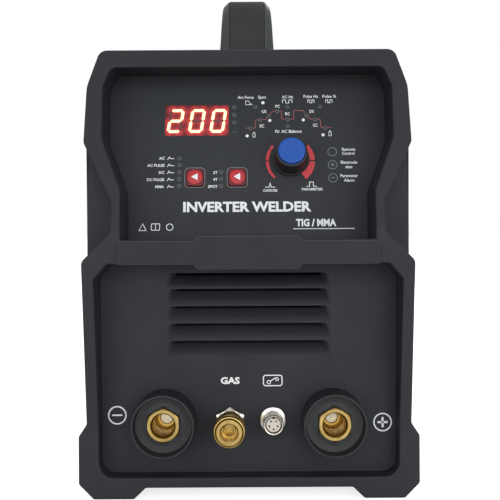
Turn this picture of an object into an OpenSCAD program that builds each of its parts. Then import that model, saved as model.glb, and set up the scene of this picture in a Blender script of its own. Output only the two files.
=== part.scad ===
// TIG welding machine: an inverter power source in a sheet metal case, held
// between a moulded front frame and a moulded rear frame.
// Millimetres, +Z up, the front faces -Y, origin on the floor under the middle.

/* [Overall] */
// Length from the nose bar to the rear frame
overall_l = 430; // [425:5:470]
// Height of the front and rear frames
frame_h = 273; // [272:1:275]
// Width over the shoulders of the frames
frame_w = 197; // [196:1:200]
// Width over the foot lugs
foot_w = 204; // [203:1:206]
// Height of the handle above the floor
handle_top = 324; // [318:1:332]

/* [Front] */
// Lean of the control panel, in degrees
panel_tilt = 14; // [13:1:15]
// Distance of the connector floor behind the nose
floor_depth = 30; // [29:1:32]
// Half distance between the two output sockets
socket_x = 51; // [48:0.1:52]
// Height of the output sockets
socket_z = 44.8; // [43:0.1:47]
// Bore of an output socket, for a 13 mm plug
socket_bore = 13.2; // [13.1:0.1:13.4]
// Vertical distance from one louvre to the next
louvre_pitch = 10.6; // [10:0.1:10.8]

/* [Controls] */
// Diameter of the control knob
knob_d = 20; // [18:0.5:21]
// Travel of the knob when it is pressed
knob_travel = 0.8; // [0.4:0.1:1]
// Travel of a push button
button_travel = 0.8; // [0.4:0.1:1]
// Side of a square push button
button_side = 11.2; // [10:0.1:11.4]

/* [Case] */
// Thickness of the case sheet
sheet = 1.2; // [1:0.1:1.5]
// Number of louvres in one bank on a side
case_louvres = 9; // [6:1:10]
// Side of the square fan
fan_side = 119; // [110:1:119]
// Blades on the fan
fan_blades = 7; // [5:1:9]

/* [Hidden] */

$fn = 64;
eps = 0.01;
half_w = frame_w / 2;
foot_half = foot_w / 2;
nose_y = -overall_l / 2;
tail_y = overall_l / 2;

// Front frame, measured back from the nose
nose_face = 3;
skirt_front = 30;
skirt_back = 72;
wall = 3;
floor_t = 3;
nose_low = 141;
nose_high = 160;
top_lean = 38;
foot_lean = 18;

// Control panel plane: its bottom edge, and the layout on it as [x, up the panel]
panel_y = nose_y + 36;
panel_z = 155;
panel_t = 2.5;
panel_len = 110;
board_gap = 14;
board_t = 1.6;
knob_at = [27.1, 51];
mode_at = [-33.3, 39.7];
trigger_at = [-6.6, 39.7];
display_at = [-32.3, 78.6];
display_size = [41, 21];
led_r = 1.35;
mode_leds = [for (i = [0 : 4]) [-43.1, 53.1 - 4.62 * i]];
trigger_leds = [for (i = [0 : 2]) [-16.7, 43.8 - 4.62 * i]];
unit_leds = [for (i = [0 : 2]) [-8.3, 87.7 - 5.3 * i]];
cycle_leds = [
    [1.8, 73], [8.2, 78.8], [13.7, 81.7], [19.3, 84.6], [25.8, 79], [25.8, 74.4],
    [25.8, 87.6], [38, 81.7], [43.6, 78.8], [49.9, 73], [5.2, 87.8], [46.8, 87.8],
];
led_spots = concat(mode_leds, trigger_leds, unit_leds, cycle_leds);
screw_posts = [for (x = [-80.8, 80.8], v = [6, 26]) [x, v]];
board_posts = [for (x = [-66, 66], v = [8, 96]) [x, v]];

// Front connectors
gas_at = [-11.5, 43.5];
remote_at = [14.5, 45];
louvre_half = 49.7;
louvre_top = 134.5;
louvre_first = 125.3;
louvres = 5;

// Case
case_y0 = nose_y + skirt_back;
rear_depth = 55;
case_y1 = tail_y - rear_depth;
case_half = half_w - 1.5;
case_top = frame_h - 5;
case_bottom = 9;
pan_t = 1.5;
pan_rim = 35;
pan_screw_z = 27;
side_screws = [
    [case_y0 + 6, 70], [case_y0 + 6, 210], [case_y1 - 6, 70], [case_y1 - 6, 210],
    [-60, pan_screw_z], [80, pan_screw_z],
];

// Rear panel and what is fixed to it
rear_y = tail_y - 28;
rear_t = 1.5;
fan_z = 185;
fan_depth = 38;
fan_pitch = 105;
fan_front = rear_y - fan_depth;
switch_at = [48, 78];
gland_at = [-48, 62];
inlet_at = [0, 62];
rear_posts = [for (x = [-90.7, 90.7], z = [60, 230]) [x, z]];
rocker_y = rear_y - 1;

// Handle
handle_half_l = 115;
handle_half_w = 20.2;
handle_taper = 3.4;
grip_half_w = 12.4;
grip_t = 21;
grip_skin = 3;
foot_len = 30;

// ---------------------------------------------------------------- helpers

function unit(v) = v / norm(v);

// The arc that rounds corner b of a polygon, between its neighbours a and c.
// Each point is [x, y, radius].
function corner_arc(a, b, c) =
    b[2] <= 0 ? [[b[0], b[1]]] :
    let (
        p = [b[0], b[1]],
        to_a = unit([a[0], a[1]] - p),
        to_c = unit([c[0], c[1]] - p),
        half = acos(to_a * to_c) / 2,
        from = p + to_a * b[2] / tan(half),
        to = p + to_c * b[2] / tan(half),
        centre = p + unit(to_a + to_c) * b[2] / sin(half),
        a0 = atan2(from[1] - centre[1], from[0] - centre[0]),
        a1 = atan2(to[1] - centre[1], to[0] - centre[0]),
        turn = (a1 - a0 + 540) % 360 - 180,
        steps = max(2, ceil(abs(turn) / 15))
    )
    [for (i = [0 : steps]) centre + b[2] * [cos(a0 + turn * i / steps), sin(a0 + turn * i / steps)]];

function rounded(points) = [
    for (i = [0 : len(points) - 1])
        each corner_arc(points[(i + len(points) - 1) % len(points)], points[i], points[(i + 1) % len(points)])
];

// A closed outline from its right half, listed from the top down
function both_sides(half) =
    concat(half, [for (i = [len(half) - 1 : -1 : 0]) [-half[i][0], half[i][1], half[i][2]]]);

module rounded_square(size, r) {
    polygon(rounded([
        [-size[0] / 2, -size[1] / 2, r], [size[0] / 2, -size[1] / 2, r],
        [size[0] / 2, size[1] / 2, r], [-size[0] / 2, size[1] / 2, r],
    ]));
}

// Extrude a shape drawn in X and Z from y0 to y1
module along_y(y0, y1) {
    translate([0, y1, 0]) rotate([90, 0, 0]) linear_extrude(y1 - y0) children();
}

// Extrude a shape drawn in Y and Z from x0 to x1
module along_x(x0, x1) {
    translate([x0, 0, 0]) rotate([90, 0, 90]) linear_extrude(x1 - x0) children();
}

// A round bar along Y
module bar_y(r, y0, y1) {
    translate([0, y1, 0]) rotate([90, 0, 0]) cylinder(r = r, h = y1 - y0);
}

// A round bar along Y, its ends given as distances behind the nose
module bar_u(r, u0, u1) {
    bar_y(r, nose_y + u0, nose_y + u1);
}

// A hexagonal bar along Y with flats across the given width
module hex_u(flats, u0, u1) {
    translate([0, nose_y + u1, 0]) rotate([90, 30, 0])
        cylinder(d = flats / cos(30), h = u1 - u0, $fn = 6);
}

// The control panel's own frame: X across, Z up the panel, -Y out of its face
module on_panel() {
    translate([0, panel_y, panel_z]) rotate([-panel_tilt, 0, 0]) children();
}

module panel_spot(at) {
    on_panel() translate([at[0], 0, at[1]]) children();
}

// A round bar standing on the panel, its ends given as heights above the face
module peg(r, low, high) {
    bar_y(r, -high, -low);
}

module at_front(at) {
    translate([at[0], 0, at[1]]) children();
}

module at_sockets() {
    for (side = [-1, 1])
        translate([side * socket_x, 0, socket_z]) children();
}

// The arc that rounds corner b of a path in space, between its neighbours a and c
function bend(a, b, c, r) =
    let (
        to_a = unit(a - b),
        to_c = unit(c - b),
        half = acos(to_a * to_c) / 2,
        centre = b + unit(to_a + to_c) * r / sin(half),
        u = (b + to_a * r / tan(half) - centre) / r,
        v = (b + to_c * r / tan(half) - centre) / r,
        turn = acos(u * v),
        steps = max(2, ceil(turn / 20))
    )
    [
        for (i = [0 : steps])
            let (a = turn * i / steps)
            centre + r * (sin(turn - a) * u + sin(a) * v) / sin(turn)
    ];

function bent(path, r) = concat(
    [path[0]],
    [for (i = [1 : len(path) - 2]) each bend(path[i - 1], path[i], path[i + 1], r)],
    [path[len(path) - 1]]
);

// A round hose of radius r along a path that is nowhere upright
module hose(path, r, sides = 12) {
    last = len(path) - 1;
    function along(i) = unit(path[min(i + 1, last)] - path[max(i - 1, 0)]);
    rings = [
        for (i = [0 : last])
            let (side = unit(cross(along(i), [0, 0, 1])), up = cross(side, along(i)))
            [for (a = [0 : 360 / sides : 359]) path[i] + r * (cos(a) * side + sin(a) * up)]
    ];
    polyhedron(
        points = [for (ring = rings) each ring],
        faces = concat(
            [[for (k = [0 : sides - 1]) k]],
            [for (i = [0 : last - 1], k = [0 : sides - 1])
                let (a = i * sides + k, b = i * sides + (k + 1) % sides)
                [a, a + sides, b + sides, b]],
            [[for (k = [sides - 1 : -1 : 0]) last * sides + k]]
        )
    );
}

// ---------------------------------------------------------------- outlines

foot_points = [
    [foot_half, 37.5, 3], [foot_half, 9, 3], [93, 0, 2], [69, 0, 2], [62, 6.7, 2],
];
top_points = [[91.5, frame_h, 6], [half_w, frame_h - 24, 20]];

module nose_outline() {
    polygon(rounded(both_sides(concat(
        top_points,
        [
            [half_w, 213.5, 6], [80, 177.5, 6], [80, 159.5, 5], [97, 142.5, 5],
            [97, 45, 3],
        ],
        foot_points
    ))));
}

module skirt_outline() {
    polygon(rounded(both_sides(concat(top_points, [[half_w, 42, 3]], foot_points))));
}

// The inside of a frame, a wall's thickness in from the skirt
module cavity_outline(inset) {
    polygon(rounded(both_sides([
        [91.5 - inset * 0.8, frame_h - inset, 5], [half_w - inset, frame_h - 24, 16],
        [half_w - inset, 12 + inset, 4], [half_w - 8 - inset, 7 + inset, 4],
    ])));
}

module window_outline(grow = 0) {
    polygon(rounded(both_sides([
        [84 + grow * 0.8, 261.5 + grow, 5], [88.5 + grow, 249, 8], [87.5 + grow, 216, 8],
        [75 + grow, 184, 5], [74 + grow, panel_z - grow, 0],
    ])));
}

module pocket_outline() {
    polygon(rounded(both_sides([[82, nose_low, 1.5], [90, 132, 2], [89.5, 13, 9]])));
}

// Side view of the front: distance behind the nose plane, and height
module front_profile(back) {
    polygon([
        [nose_y + foot_lean, 0], [nose_y + foot_lean, 40], [nose_y + nose_face, nose_low],
        [nose_y + nose_face, nose_high], [nose_y + top_lean, frame_h],
        [nose_y + back, frame_h], [nose_y + back, 0],
    ]);
}

// ---------------------------------------------------------------- front frame

// Everything in front of the control panel plate
module before_panel() {
    on_panel() translate([-150, -200, -150]) cube([300, 200, 400]);
}

module window_tube() {
    intersection() {
        along_y(nose_y + 10, nose_y + skirt_back) window_outline(2.5);
        before_panel();
    }
}

// One louvre scoop: shallow at its bottom edge and deep at its top edge
module scoop(low, high, slot) {
    hull() {
        translate([-louvre_half, nose_y + floor_depth - 0.2, low])
            cube([2 * louvre_half, 0.2, high - low]);
        translate([-louvre_half + 4, nose_y + floor_depth + 8.8, high - slot])
            cube([2 * louvre_half - 8, 0.2, slot]);
    }
}

module louvre_cuts() {
    lip = 1.1;
    scoop(louvre_first + lip / 2, louvre_top, 2.4);
    for (i = [0 : louvres - 2])
        let (high = louvre_first - i * louvre_pitch - lip / 2)
        scoop(high - louvre_pitch + lip, high, 2.4);
    for (i = [0 : louvres - 1]) {
        top = i == 0 ? louvre_top : louvre_first - (i - 1) * louvre_pitch - lip / 2;
        translate([-louvre_half + 4.2, nose_y + floor_depth + 8.5, top - 2.4])
            cube([2 * louvre_half - 8.4, 4, 2.4]);
    }
}

module front_bezel() {
    color("#3c3e42") difference() {
        union() {
            difference() {
                intersection() {
                    union() {
                        along_y(nose_y, nose_y + skirt_front + 1) nose_outline();
                        along_y(nose_y + skirt_front, nose_y + skirt_back) skirt_outline();
                    }
                    along_x(-150, 150) front_profile(skirt_back);
                }
                intersection() {
                    along_y(nose_y + floor_depth + floor_t, nose_y + skirt_back + 1) cavity_outline(wall);
                    along_x(-150, 150) polygon([
                        [nose_y + 33, 0], [nose_y + 33, 215], [nose_y + 42, 272],
                        [nose_y + 90, 272], [nose_y + 90, 0],
                    ]);
                }
            }
            window_tube();
            for (at = screw_posts)
                intersection() {
                    panel_spot(at) peg(4, 0, 16);
                    along_y(nose_y + floor_depth + 1, nose_y + skirt_back) cavity_outline(1);
                }
            translate([-louvre_half - 3, nose_y + floor_depth + 1, louvre_first - louvres * louvre_pitch + 6])
                cube([2 * louvre_half + 6, 10, louvre_top - louvre_first + louvres * louvre_pitch - 3]);
            bezel_lip(case_y0 - 1, case_y0 + 12, case_y0 - 6, case_y0);
        }
        along_y(nose_y - 1, nose_y + skirt_back) window_outline();
        along_y(nose_y - 1, nose_y + floor_depth) pocket_outline();
        louvre_cuts();
        for (at = screw_posts)
            panel_spot(at) peg(1.45, -1, 5.6);
        at_sockets() bar_u(16.2, 20, 60);
        at_front(gas_at) bar_u(6.7, 20, 60);
        at_front(remote_at) bar_u(6.1, 20, 60);
        lip_holes(case_y0 + 6);
        centre_bar_holes();
    }
}

// The ring inside a frame's edge that the case cover is screwed to: it runs from
// y0 to y1 inside the cover, and from root0 to root1 it joins the frame's wall
module bezel_lip(y0, y1, root0, root1) {
    difference() {
        union() {
            along_y(y0, y1) cover_outline(sheet + 0.1);
            along_y(root0, root1) skirt_outline();
        }
        along_y(min(y0, root0) - 1, max(y1, root1) + 1) cover_outline(sheet + 3.1);
        translate([-150, min(y0, root0) - 1, -1]) cube([300, 60, 46]);
    }
}

module lip_holes(y) {
    for (z = [70, 210])
        translate([-150, y, z]) rotate([0, 90, 0]) cylinder(r = 1.9, h = 300);
}

bar_pins = [-62, 62];

module centre_bar_holes() {
    for (x = bar_pins)
        translate([x, 0, 147.5]) bar_u(2.1, 2, 13);
}

// The raised bar across the nose, between the two recesses
module centre_bar() {
    color("#3a3c41") {
        along_y(nose_y, nose_y + nose_face) polygon(rounded(both_sides([
            [29, 157, 0.6], [31.6, 154.3, 0.6], [75.5, 154.3, 0.8],
            [75.5, 140.8, 0.8], [31.6, 140.8, 0.6], [29, 137.9, 0.6],
        ])));
        for (x = bar_pins)
            translate([x, 0, 147.5]) bar_u(2, nose_face - eps, 12);
    }
}

// ---------------------------------------------------------------- control panel

module plate_outline() {
    top = panel_len + 3.4;
    polygon(rounded(both_sides([
        [88, top, 4], [91.8, 95, 4], [91, 62, 6], [84.5, 36, 5], [84.5, -3, 3],
    ])));
}

module control_panel() {
    color("#3b3f43") {
        difference() {
            on_panel() along_y(eps, panel_t) plate_outline();
            panel_spot(display_at) along_y(-1, 4) square(display_size, center = true);
            for (at = [mode_at, trigger_at])
                panel_spot(at) along_y(-1, 4) rounded_square([button_side + 0.5, button_side + 0.5], 2.2);
            for (at = led_spots)
                panel_spot(at) peg(led_r, -4, 1);
            panel_spot(knob_at) peg(4.7, -4, 1);
            for (at = screw_posts)
                panel_spot(at) peg(1.7, -4, 1);
        }
        for (at = board_posts)
            panel_spot(at) difference() {
                peg(3, -board_gap + 0.02, -panel_t + eps);
                peg(1.25, -board_gap - 1, -panel_t - 2);
            }
    }
}

module control_board() {
    color("#1f6b3a") difference() {
        on_panel() along_y(board_gap, board_gap + board_t)
            translate([0, 52]) rounded_square([142, 100], 3);
        for (at = board_posts)
            panel_spot(at) peg(1.6, -20, -10);
    }
}

// Three-digit light module behind the window
module led_display() {
    color("#241416") panel_spot(display_at)
        along_y(1.4, board_gap - 0.05) rounded_square([display_size[0] - 1.5, display_size[1] - 1.2], 0.4);
}

module display_window() {
    color("#6d1f24") panel_spot(display_at)
        along_y(0.1, 1.3) rounded_square([display_size[0] - 0.1, display_size[1] - 0.1], 0.3);
}

module indicator_leds() {
    color("#8a8f92")
        for (at = led_spots)
            panel_spot(at) {
                peg(led_r - 0.05, -5, -0.05);
                peg(led_r + 0.35, -board_gap + 0.05, -5);
            }
}

switch_plunge = 5.2;

module tact_switches() {
    color("#222426")
        for (at = [mode_at, trigger_at])
            panel_spot(at) {
                along_y(board_gap - 4, board_gap - 0.05) square([6, 6], center = true);
                peg(1.7, -board_gap + 4, -board_gap + switch_plunge);
            }
}

// A square cap with a round dome, and a stem down to its switch
module push_button(at) {
    color("#a83a40") panel_spot(at) {
        along_y(-0.9, panel_t + 0.6) rounded_square([button_side, button_side], 2);
        intersection() {
            peg(4.7, 0.9 - eps, 2);
            translate([0, 19.5, 0]) sphere(r = 21.3, $fn = 96);
        }
        peg(1.8, -board_gap + switch_plunge + button_travel + 0.05, -panel_t);
    }
}

module mode_button() push_button(mode_at);
module trigger_button() push_button(trigger_at);

module encoder_body() {
    color("#8f9599") difference() {
        panel_spot(knob_at) {
            along_y(7.5, board_gap - 0.02) square([13, 13], center = true);
            peg(4.5, -7.5 - eps, 5);
        }
        panel_spot(knob_at) peg(3.05, -board_gap - 1, 6);
    }
}

module encoder_nut() {
    color("#b9bdc0") panel_spot(knob_at) difference() {
        translate([0, -0.05, 0]) rotate([90, 0, 0]) cylinder(d = 13, h = 2.2, $fn = 6);
        peg(4.55, -1, 4);
    }
}

plunger_low = knob_travel + 0.2 - board_gap;

// The disc under the shaft that works the press switch
module encoder_plunger() {
    color("#dcdcd8") panel_spot(knob_at) peg(2.4, plunger_low, plunger_low + 0.9);
}

module encoder_shaft() {
    color("#c4c8ca") panel_spot(knob_at) peg(3, plunger_low + 0.95, 17);
}

module knob_body() {
    color("#232427") panel_spot(knob_at) difference() {
        union() {
            peg(knob_d / 2, knob_travel + 0.4, 19.4);
            peg(knob_d / 2 + 0.7, knob_travel + 0.4, 3);
        }
        peg(7.6, 0, 7);
        peg(3.01, 0, 17.1);
        peg(8.45, 18.2, 21);
    }
}

module knob_cap() {
    color("#2456a8") panel_spot(knob_at) {
        peg(8.4, 18.25, 19.6);
        peg(7.9, 19.59, 20);
    }
}

module panel_screws() {
    color("#b0b4b8") {
        for (at = screw_posts)
            panel_spot(at) {
                peg(1.4, -panel_t - 0.06, 5);
                peg(3, -panel_t - 2, -panel_t - 0.05);
            }
        for (at = board_posts)
            panel_spot(at) {
                peg(3, -board_gap - board_t - 2, -board_gap - board_t - 0.05);
                peg(1.2, -board_gap - board_t - 0.06, -board_gap + 7);
            }
    }
}

// ---------------------------------------------------------------- front connectors

socket_front = 10;
dish_floor = 17.5;
core_front = 14;
bore_len = 23;
core_back = 58;
core_flats = 18.8;

// Insulating collars of the two output sockets, with a dished face
module socket_shells() {
    color("#37393c") at_sockets() difference() {
        union() {
            bar_u(19, socket_front + 1.2, floor_depth);
            translate([0, nose_y + socket_front + 1.2, 0]) rotate([90, 0, 0])
                cylinder(r1 = 19, r2 = 18.2, h = 1.2);
            bar_u(16, floor_depth - eps, floor_depth + 15);
        }
        translate([0, nose_y + dish_floor, 0]) rotate([90, 0, 0])
            cylinder(r1 = 17, r2 = 17.6, h = dish_floor - socket_front + eps);
        hex_u(core_flats + 0.3, 0, 80);
    }
}

module socket_lock_nuts() {
    color("#2c2d30") at_sockets() difference() {
        hex_u(38, floor_depth + floor_t + 0.05, floor_depth + 11);
        bar_u(16.1, 20, 60);
    }
}

// Hexagonal brass cores with the plug bore
module socket_cores() {
    color("#c9a04c") at_sockets() difference() {
        intersection() {
            hex_u(core_flats, core_front, core_back);
            union() {
                bar_u(12, core_front + 1.2, core_back);
                translate([0, nose_y + core_front + 1.21, 0]) rotate([90, 0, 0])
                    cylinder(r1 = 11.6, r2 = 9.9, h = 1.21);
            }
        }
        bar_u(socket_bore / 2, core_front - 1, core_front + bore_len);
        bar_u(4.05, core_front + bore_len - 1, core_back + 1);
        translate([0, nose_y + core_front + 0.9, 0]) rotate([90, 0, 0])
            cylinder(r1 = socket_bore / 2 - eps, r2 = socket_bore / 2 + 1, h = 1);
    }
}

strap_t = 3;

// Bolts that clamp the straps to the cores
module socket_bolts() {
    color("#c8cacb") at_sockets() {
        bar_u(4, core_front + bore_len + 0.1, core_back + strap_t + 0.2);
        hex_u(13, core_back + strap_t + 0.1, core_back + strap_t + 5.5);
    }
}

coil_z = case_bottom + pan_t + 29;
strap_z = coil_z - 5.5;

// Copper straps from the sockets, back through the two coils
module busbars() {
    color("#b8693a")
        for (side = [-1, 1])
            difference() {
                translate([side * socket_x - 8, nose_y + core_back + 0.05, strap_z]) {
                    cube([16, strap_t, socket_z + 8 - strap_z]);
                    cube([16, 92, strap_t]);
                }
                at_sockets() bar_u(4.1, 50, 80);
            }
}

// Gas outlet: a quick coupling with a spring-loaded sleeve and valve
gas_face = 1;
gas_sleeve = [2, 19];
sleeve_travel = 4;
gas_hex = gas_sleeve[1] + sleeve_travel + 2.2;
gas_bore_end = 9.6;
poppet_travel = 3;

module gas_outlet_body() {
    color("#b98d43") at_front(gas_at) difference() {
        union() {
            bar_u(7.7, gas_face, gas_hex);
            hex_u(17, gas_hex - eps, floor_depth - 0.05);
            bar_u(6.5, floor_depth - 0.1, 52);
            bar_u(4, 51.9, 62);
        }
        bar_u(4.75, 0, gas_bore_end);
        bar_u(3.7, gas_bore_end - 1, 20);
        bar_u(4.6, 14, 21 + poppet_travel);
        bar_u(2.6, 23, 70);
        translate([0, nose_y + gas_face + 0.8, 0]) rotate([90, 0, 0])
            cylinder(r1 = 4.74, r2 = 5.5, h = 0.81);
    }
}

module gas_outlet_sleeve() {
    color("#c39a52") at_front(gas_at) translate([0, nose_y, 0]) rotate([-90, 0, 0])
        rotate_extrude() polygon([
            [7.8, gas_sleeve[0] + 0.8], [8.5, gas_sleeve[0]], [9.2, gas_sleeve[0] + 0.7],
            [9.2, 6], [8.7, 6.6], [8.7, 8], [9.2, 8.6], [9.2, 10.4], [8.7, 11],
            [8.7, 12.4], [9.2, 13], [9.2, 16], [8.4, gas_sleeve[1]], [7.8, gas_sleeve[1]],
        ]);
}

module gas_outlet_poppet() {
    color("#a97f3a") at_front(gas_at) difference() {
        union() {
            bar_u(3.6, gas_bore_end + 0.1, 18);
            bar_u(4.5, 14.05, 16);
        }
        bar_u(2.3, 0, 13);
    }
}

// Remote control socket: a round five-pole connector
remote_front = floor_depth - 17;

module remote_socket_shell() {
    color("#b9b6ae") at_front(remote_at) difference() {
        union() {
            bar_u(8, floor_depth - 3, floor_depth - 0.05);
            bar_u(6, remote_front, floor_depth + 10);
        }
        bar_u(4.9, 0, floor_depth + 6);
        bar_u(3, 0, 90);
    }
}

module remote_socket_insert() {
    color("#c9c7c0") at_front(remote_at) difference() {
        union() {
            bar_u(4.2, remote_front + 1.2, floor_depth);
            bar_u(4.8, remote_front + 5, floor_depth + 5.9);
        }
        for (i = [0 : 4])
            rotate([0, 90 + i * 72, 0]) translate([2.6, 0, 0]) bar_u(0.6, 0, floor_depth - 4);
        translate([-0.8, nose_y, 3.5]) cube([1.6, floor_depth, 2.5]);
    }
}

module remote_socket_nut() {
    color("#b9b6ae") at_front(remote_at) difference() {
        hex_u(15, floor_depth + floor_t + 0.05, floor_depth + floor_t + 3);
        bar_u(6.05, 0, 90);
    }
}

// ---------------------------------------------------------------- case

module cover_outline(inset) {
    polygon(rounded(both_sides([
        [case_half - inset, case_top - inset, 18 - inset], [case_half - inset, case_bottom, 0],
    ])));
}

// Banks of louvres along a side: [centre y, length]
case_banks = [[-72, 84], [62, 84]];
case_louvre_z = 62;
case_louvre_step = 13;

module side_louvre(z, cut) {
    x = case_half;
    polygon(cut ?
        [[x - 4, z + 7], [x - 0.4, z + 7], [x + 0.9, z + 1.3], [x + 0.9, z - 1], [x - 4, z - 1]] :
        [[x - 0.4, z + 9], [x, z + 9], [x + 2, z + 2], [x + 2, z], [x - 0.4, z]]);
}

module side_louvre_bank(cut) {
    for (side = [0, 1])
        mirror([side, 0, 0])
            for (bank = case_banks, i = [0 : case_louvres - 1])
                let (len = bank[1] - (cut ? 3 : 0))
                along_y(bank[0] - len / 2, bank[0] + len / 2)
                    side_louvre(case_louvre_z + i * case_louvre_step, cut);
}

module case_cover() {
    color("#2f3134") difference() {
        union() {
            difference() {
                along_y(case_y0 + 0.05, case_y1 - 0.05) cover_outline(0);
                along_y(case_y0 - 1, case_y1 + 1) cover_outline(sheet);
                translate([-case_half + sheet, case_y0 - 1, 0])
                    cube([2 * (case_half - sheet), case_y1 - case_y0 + 2, 20]);
            }
            side_louvre_bank(false);
        }
        side_louvre_bank(true);
        for (at = side_screws)
            translate([-150, at[0], at[1]]) rotate([0, 90, 0]) cylinder(r = 2.2, h = 300);
        handle_screw_spots() cylinder(r = 2.7, h = 20, center = true);
    }
}

module base_pan() {
    x = case_half - sheet - 0.2;
    color("#8d9194") difference() {
        translate([-x, case_y0 + 0.05, case_bottom])
            cube([2 * x, case_y1 - case_y0 - 0.1, pan_rim - case_bottom]);
        translate([-x + pan_t, case_y0 - 1, case_bottom + pan_t])
            cube([2 * (x - pan_t), case_y1 - case_y0 + 2, pan_rim]);
        for (at = side_screws)
            translate([-150, at[0], at[1]]) rotate([0, 90, 0]) cylinder(r = 1.9, h = 300);
    }
}

module side_screw() {
    rotate([0, 90, 0]) cylinder(r1 = 3.9, r2 = 2.6, h = 1.9);
    translate([-7, 0, 0]) rotate([0, 90, 0]) cylinder(r = 1.8, h = 7 + eps);
}

module case_screws() {
    color("#9a9da0")
        for (side = [0, 1], at = side_screws)
            mirror([side, 0, 0]) translate([case_half + 0.05, at[0], at[1]]) side_screw();
}

// ---------------------------------------------------------------- handle

// Side view of the handle: a flat arch
module handle_profile(inset, foot) {
    l = handle_half_l - inset;
    polygon(rounded([
        [-l, case_top, 0], [-l, handle_top - inset, 16], [l, handle_top - inset, 16], [l, case_top, 0],
        [l - foot, case_top, 0], [l - foot + 4, handle_top - grip_t + inset, 12],
        [-l + foot - 4, handle_top - grip_t + inset, 12], [-l + foot, case_top, 0],
    ]));
}

// The arch, chamfered along its outer edges
module handle_solid() {
    w = handle_half_w;
    g = grip_half_w;
    intersection() {
        along_x(-w, w) handle_profile(0, foot_len);
        along_y(-150, 150) polygon([
            [-w, case_top], [w, case_top], [w - handle_taper, handle_top - 5], [g, handle_top],
            [-g, handle_top], [-w + handle_taper, handle_top - 5],
        ]);
        translate([0, 0, case_top - 1]) linear_extrude(100) polygon([
            [-g, -handle_half_l], [g, -handle_half_l], [w, -handle_half_l + 5],
            [w, handle_half_l - 5], [g, handle_half_l], [-g, handle_half_l],
            [-w, handle_half_l - 5], [-w, -handle_half_l + 5],
        ]);
    }
}

// The groove in the frame that the soft grip lies in
module grip_zone(grow) {
    difference() {
        along_x(-grip_half_w - grow, grip_half_w + grow)
            handle_profile(-1, foot_len);
        along_x(-grip_half_w - 1 - grow, grip_half_w + 1 + grow)
            polygon(rounded([
                [-handle_half_l + grip_skin + grow, case_top - 1, 0],
                [-handle_half_l + grip_skin + grow, handle_top - grip_skin - grow, 13],
                [handle_half_l - grip_skin - grow, handle_top - grip_skin - grow, 13],
                [handle_half_l - grip_skin - grow, case_top - 1, 0],
            ]));
    }
}

module handle_screw_spots() {
    for (y = [-1, 1], x = [-8, 8])
        translate([x, y * (handle_half_l - 15), case_top]) children();
}

module handle_frame() {
    color("#515457") difference() {
        translate([0, 0, 0.05]) handle_solid();
        grip_zone(0.05);
        handle_screw_spots() cylinder(r = 2.4, h = 24);
    }
}

module handle_grip() {
    color("#35373a") intersection() {
        translate([0, 0, 0.05]) handle_solid();
        grip_zone(-0.05);
    }
}

module handle_screws() {
    color("#9a9da0") handle_screw_spots() {
        translate([0, 0, -sheet - 12]) cylinder(r = 2.3, h = 32);
        translate([0, 0, -sheet - 4]) cylinder(r = 4.5, h = 3.9);
    }
}

// ---------------------------------------------------------------- rear

module rear_window_outline() {
    translate([0, 138]) rounded_square([172, 240], 12);
}

module rear_bezel() {
    color("#3c3e42") difference() {
        union() {
            difference() {
                intersection() {
                    along_y(case_y1, tail_y) skirt_outline();
                    along_x(-150, 150) polygon([
                        [case_y1, 0], [tail_y - 12, 0], [tail_y - 12, 30], [tail_y, 110],
                        [tail_y, 165], [tail_y - 16, frame_h], [case_y1, frame_h],
                    ]);
                }
                along_y(case_y1 - 1, rear_y + rear_t) cavity_outline(wall);
            }
            bezel_lip(case_y1 - 12, case_y1 + 1, case_y1, case_y1 + 6);
        }
        along_y(case_y1 + 10, tail_y + 1) rear_window_outline();
        lip_holes(case_y1 - 6);
        for (at = rear_posts)
            translate([at[0], 0, at[1]]) bar_y(1.6, rear_y, rear_y + 12);
    }
}

module rear_panel() {
    color("#2f3134") difference() {
        along_y(rear_y, rear_y + rear_t - 0.05) cavity_outline(wall + 0.4);
        translate([0, 0, fan_z]) {
            bar_y(56, rear_y - 1, rear_y + 5);
            fan_corners() bar_y(2.2, rear_y - 1, rear_y + 5);
        }
        translate([switch_at[0], 0, switch_at[1]])
            along_y(rear_y - 1, rear_y + 5) square([21, 34], center = true);
        translate([gland_at[0], 0, gland_at[1]]) bar_y(9.2, rear_y - 1, rear_y + 5);
        translate([inlet_at[0], 0, inlet_at[1]]) bar_y(6.7, rear_y - 1, rear_y + 5);
        for (at = rear_posts)
            translate([at[0], 0, at[1]]) bar_y(1.8, rear_y - 1, rear_y + 5);
    }
}

module rear_screws() {
    color("#9a9da0")
        for (at = rear_posts)
            translate([at[0], 0, at[1]]) {
                bar_y(1.5, rear_y - 0.05, rear_y + 10);
                bar_y(3.2, rear_y - 2.2, rear_y - 0.04);
            }
}

module fan_corners() {
    for (x = [-1, 1], z = [-1, 1])
        translate([x * fan_pitch / 2, 0, z * fan_pitch / 2]) children();
}

bore_r = 57.5;
stator_r = 20;
cup_r = 29;

module fan_frame() {
    color("#26282a") translate([0, 0, fan_z]) difference() {
        union() {
            difference() {
                along_y(fan_front, rear_y - 0.05) rounded_square([fan_side, fan_side], 6);
                bar_y(bore_r, fan_front - 1, rear_y + 1);
            }
            for (a = [45 : 90 : 315])
                rotate([0, a, 0]) translate([15, fan_front, -3]) cube([bore_r - 13, 4, 6]);
            bar_y(cup_r - 1, fan_front, fan_front + 5);
            bar_y(stator_r, fan_front, fan_front + 26);
        }
        bar_y(2.06, fan_front + 2, fan_front + 30);
        fan_corners() bar_y(2.2, fan_front - 1, rear_y + 1);
    }
}

module fan_blade() {
    intersection() {
        translate([cup_r - 1, fan_front + 22, 0]) rotate([34, 0, 0])
            translate([0, -20, -1]) cube([60, 40, 2]);
        bar_y(bore_r - 1.5, fan_front + 9, fan_front + 35);
    }
}

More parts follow.
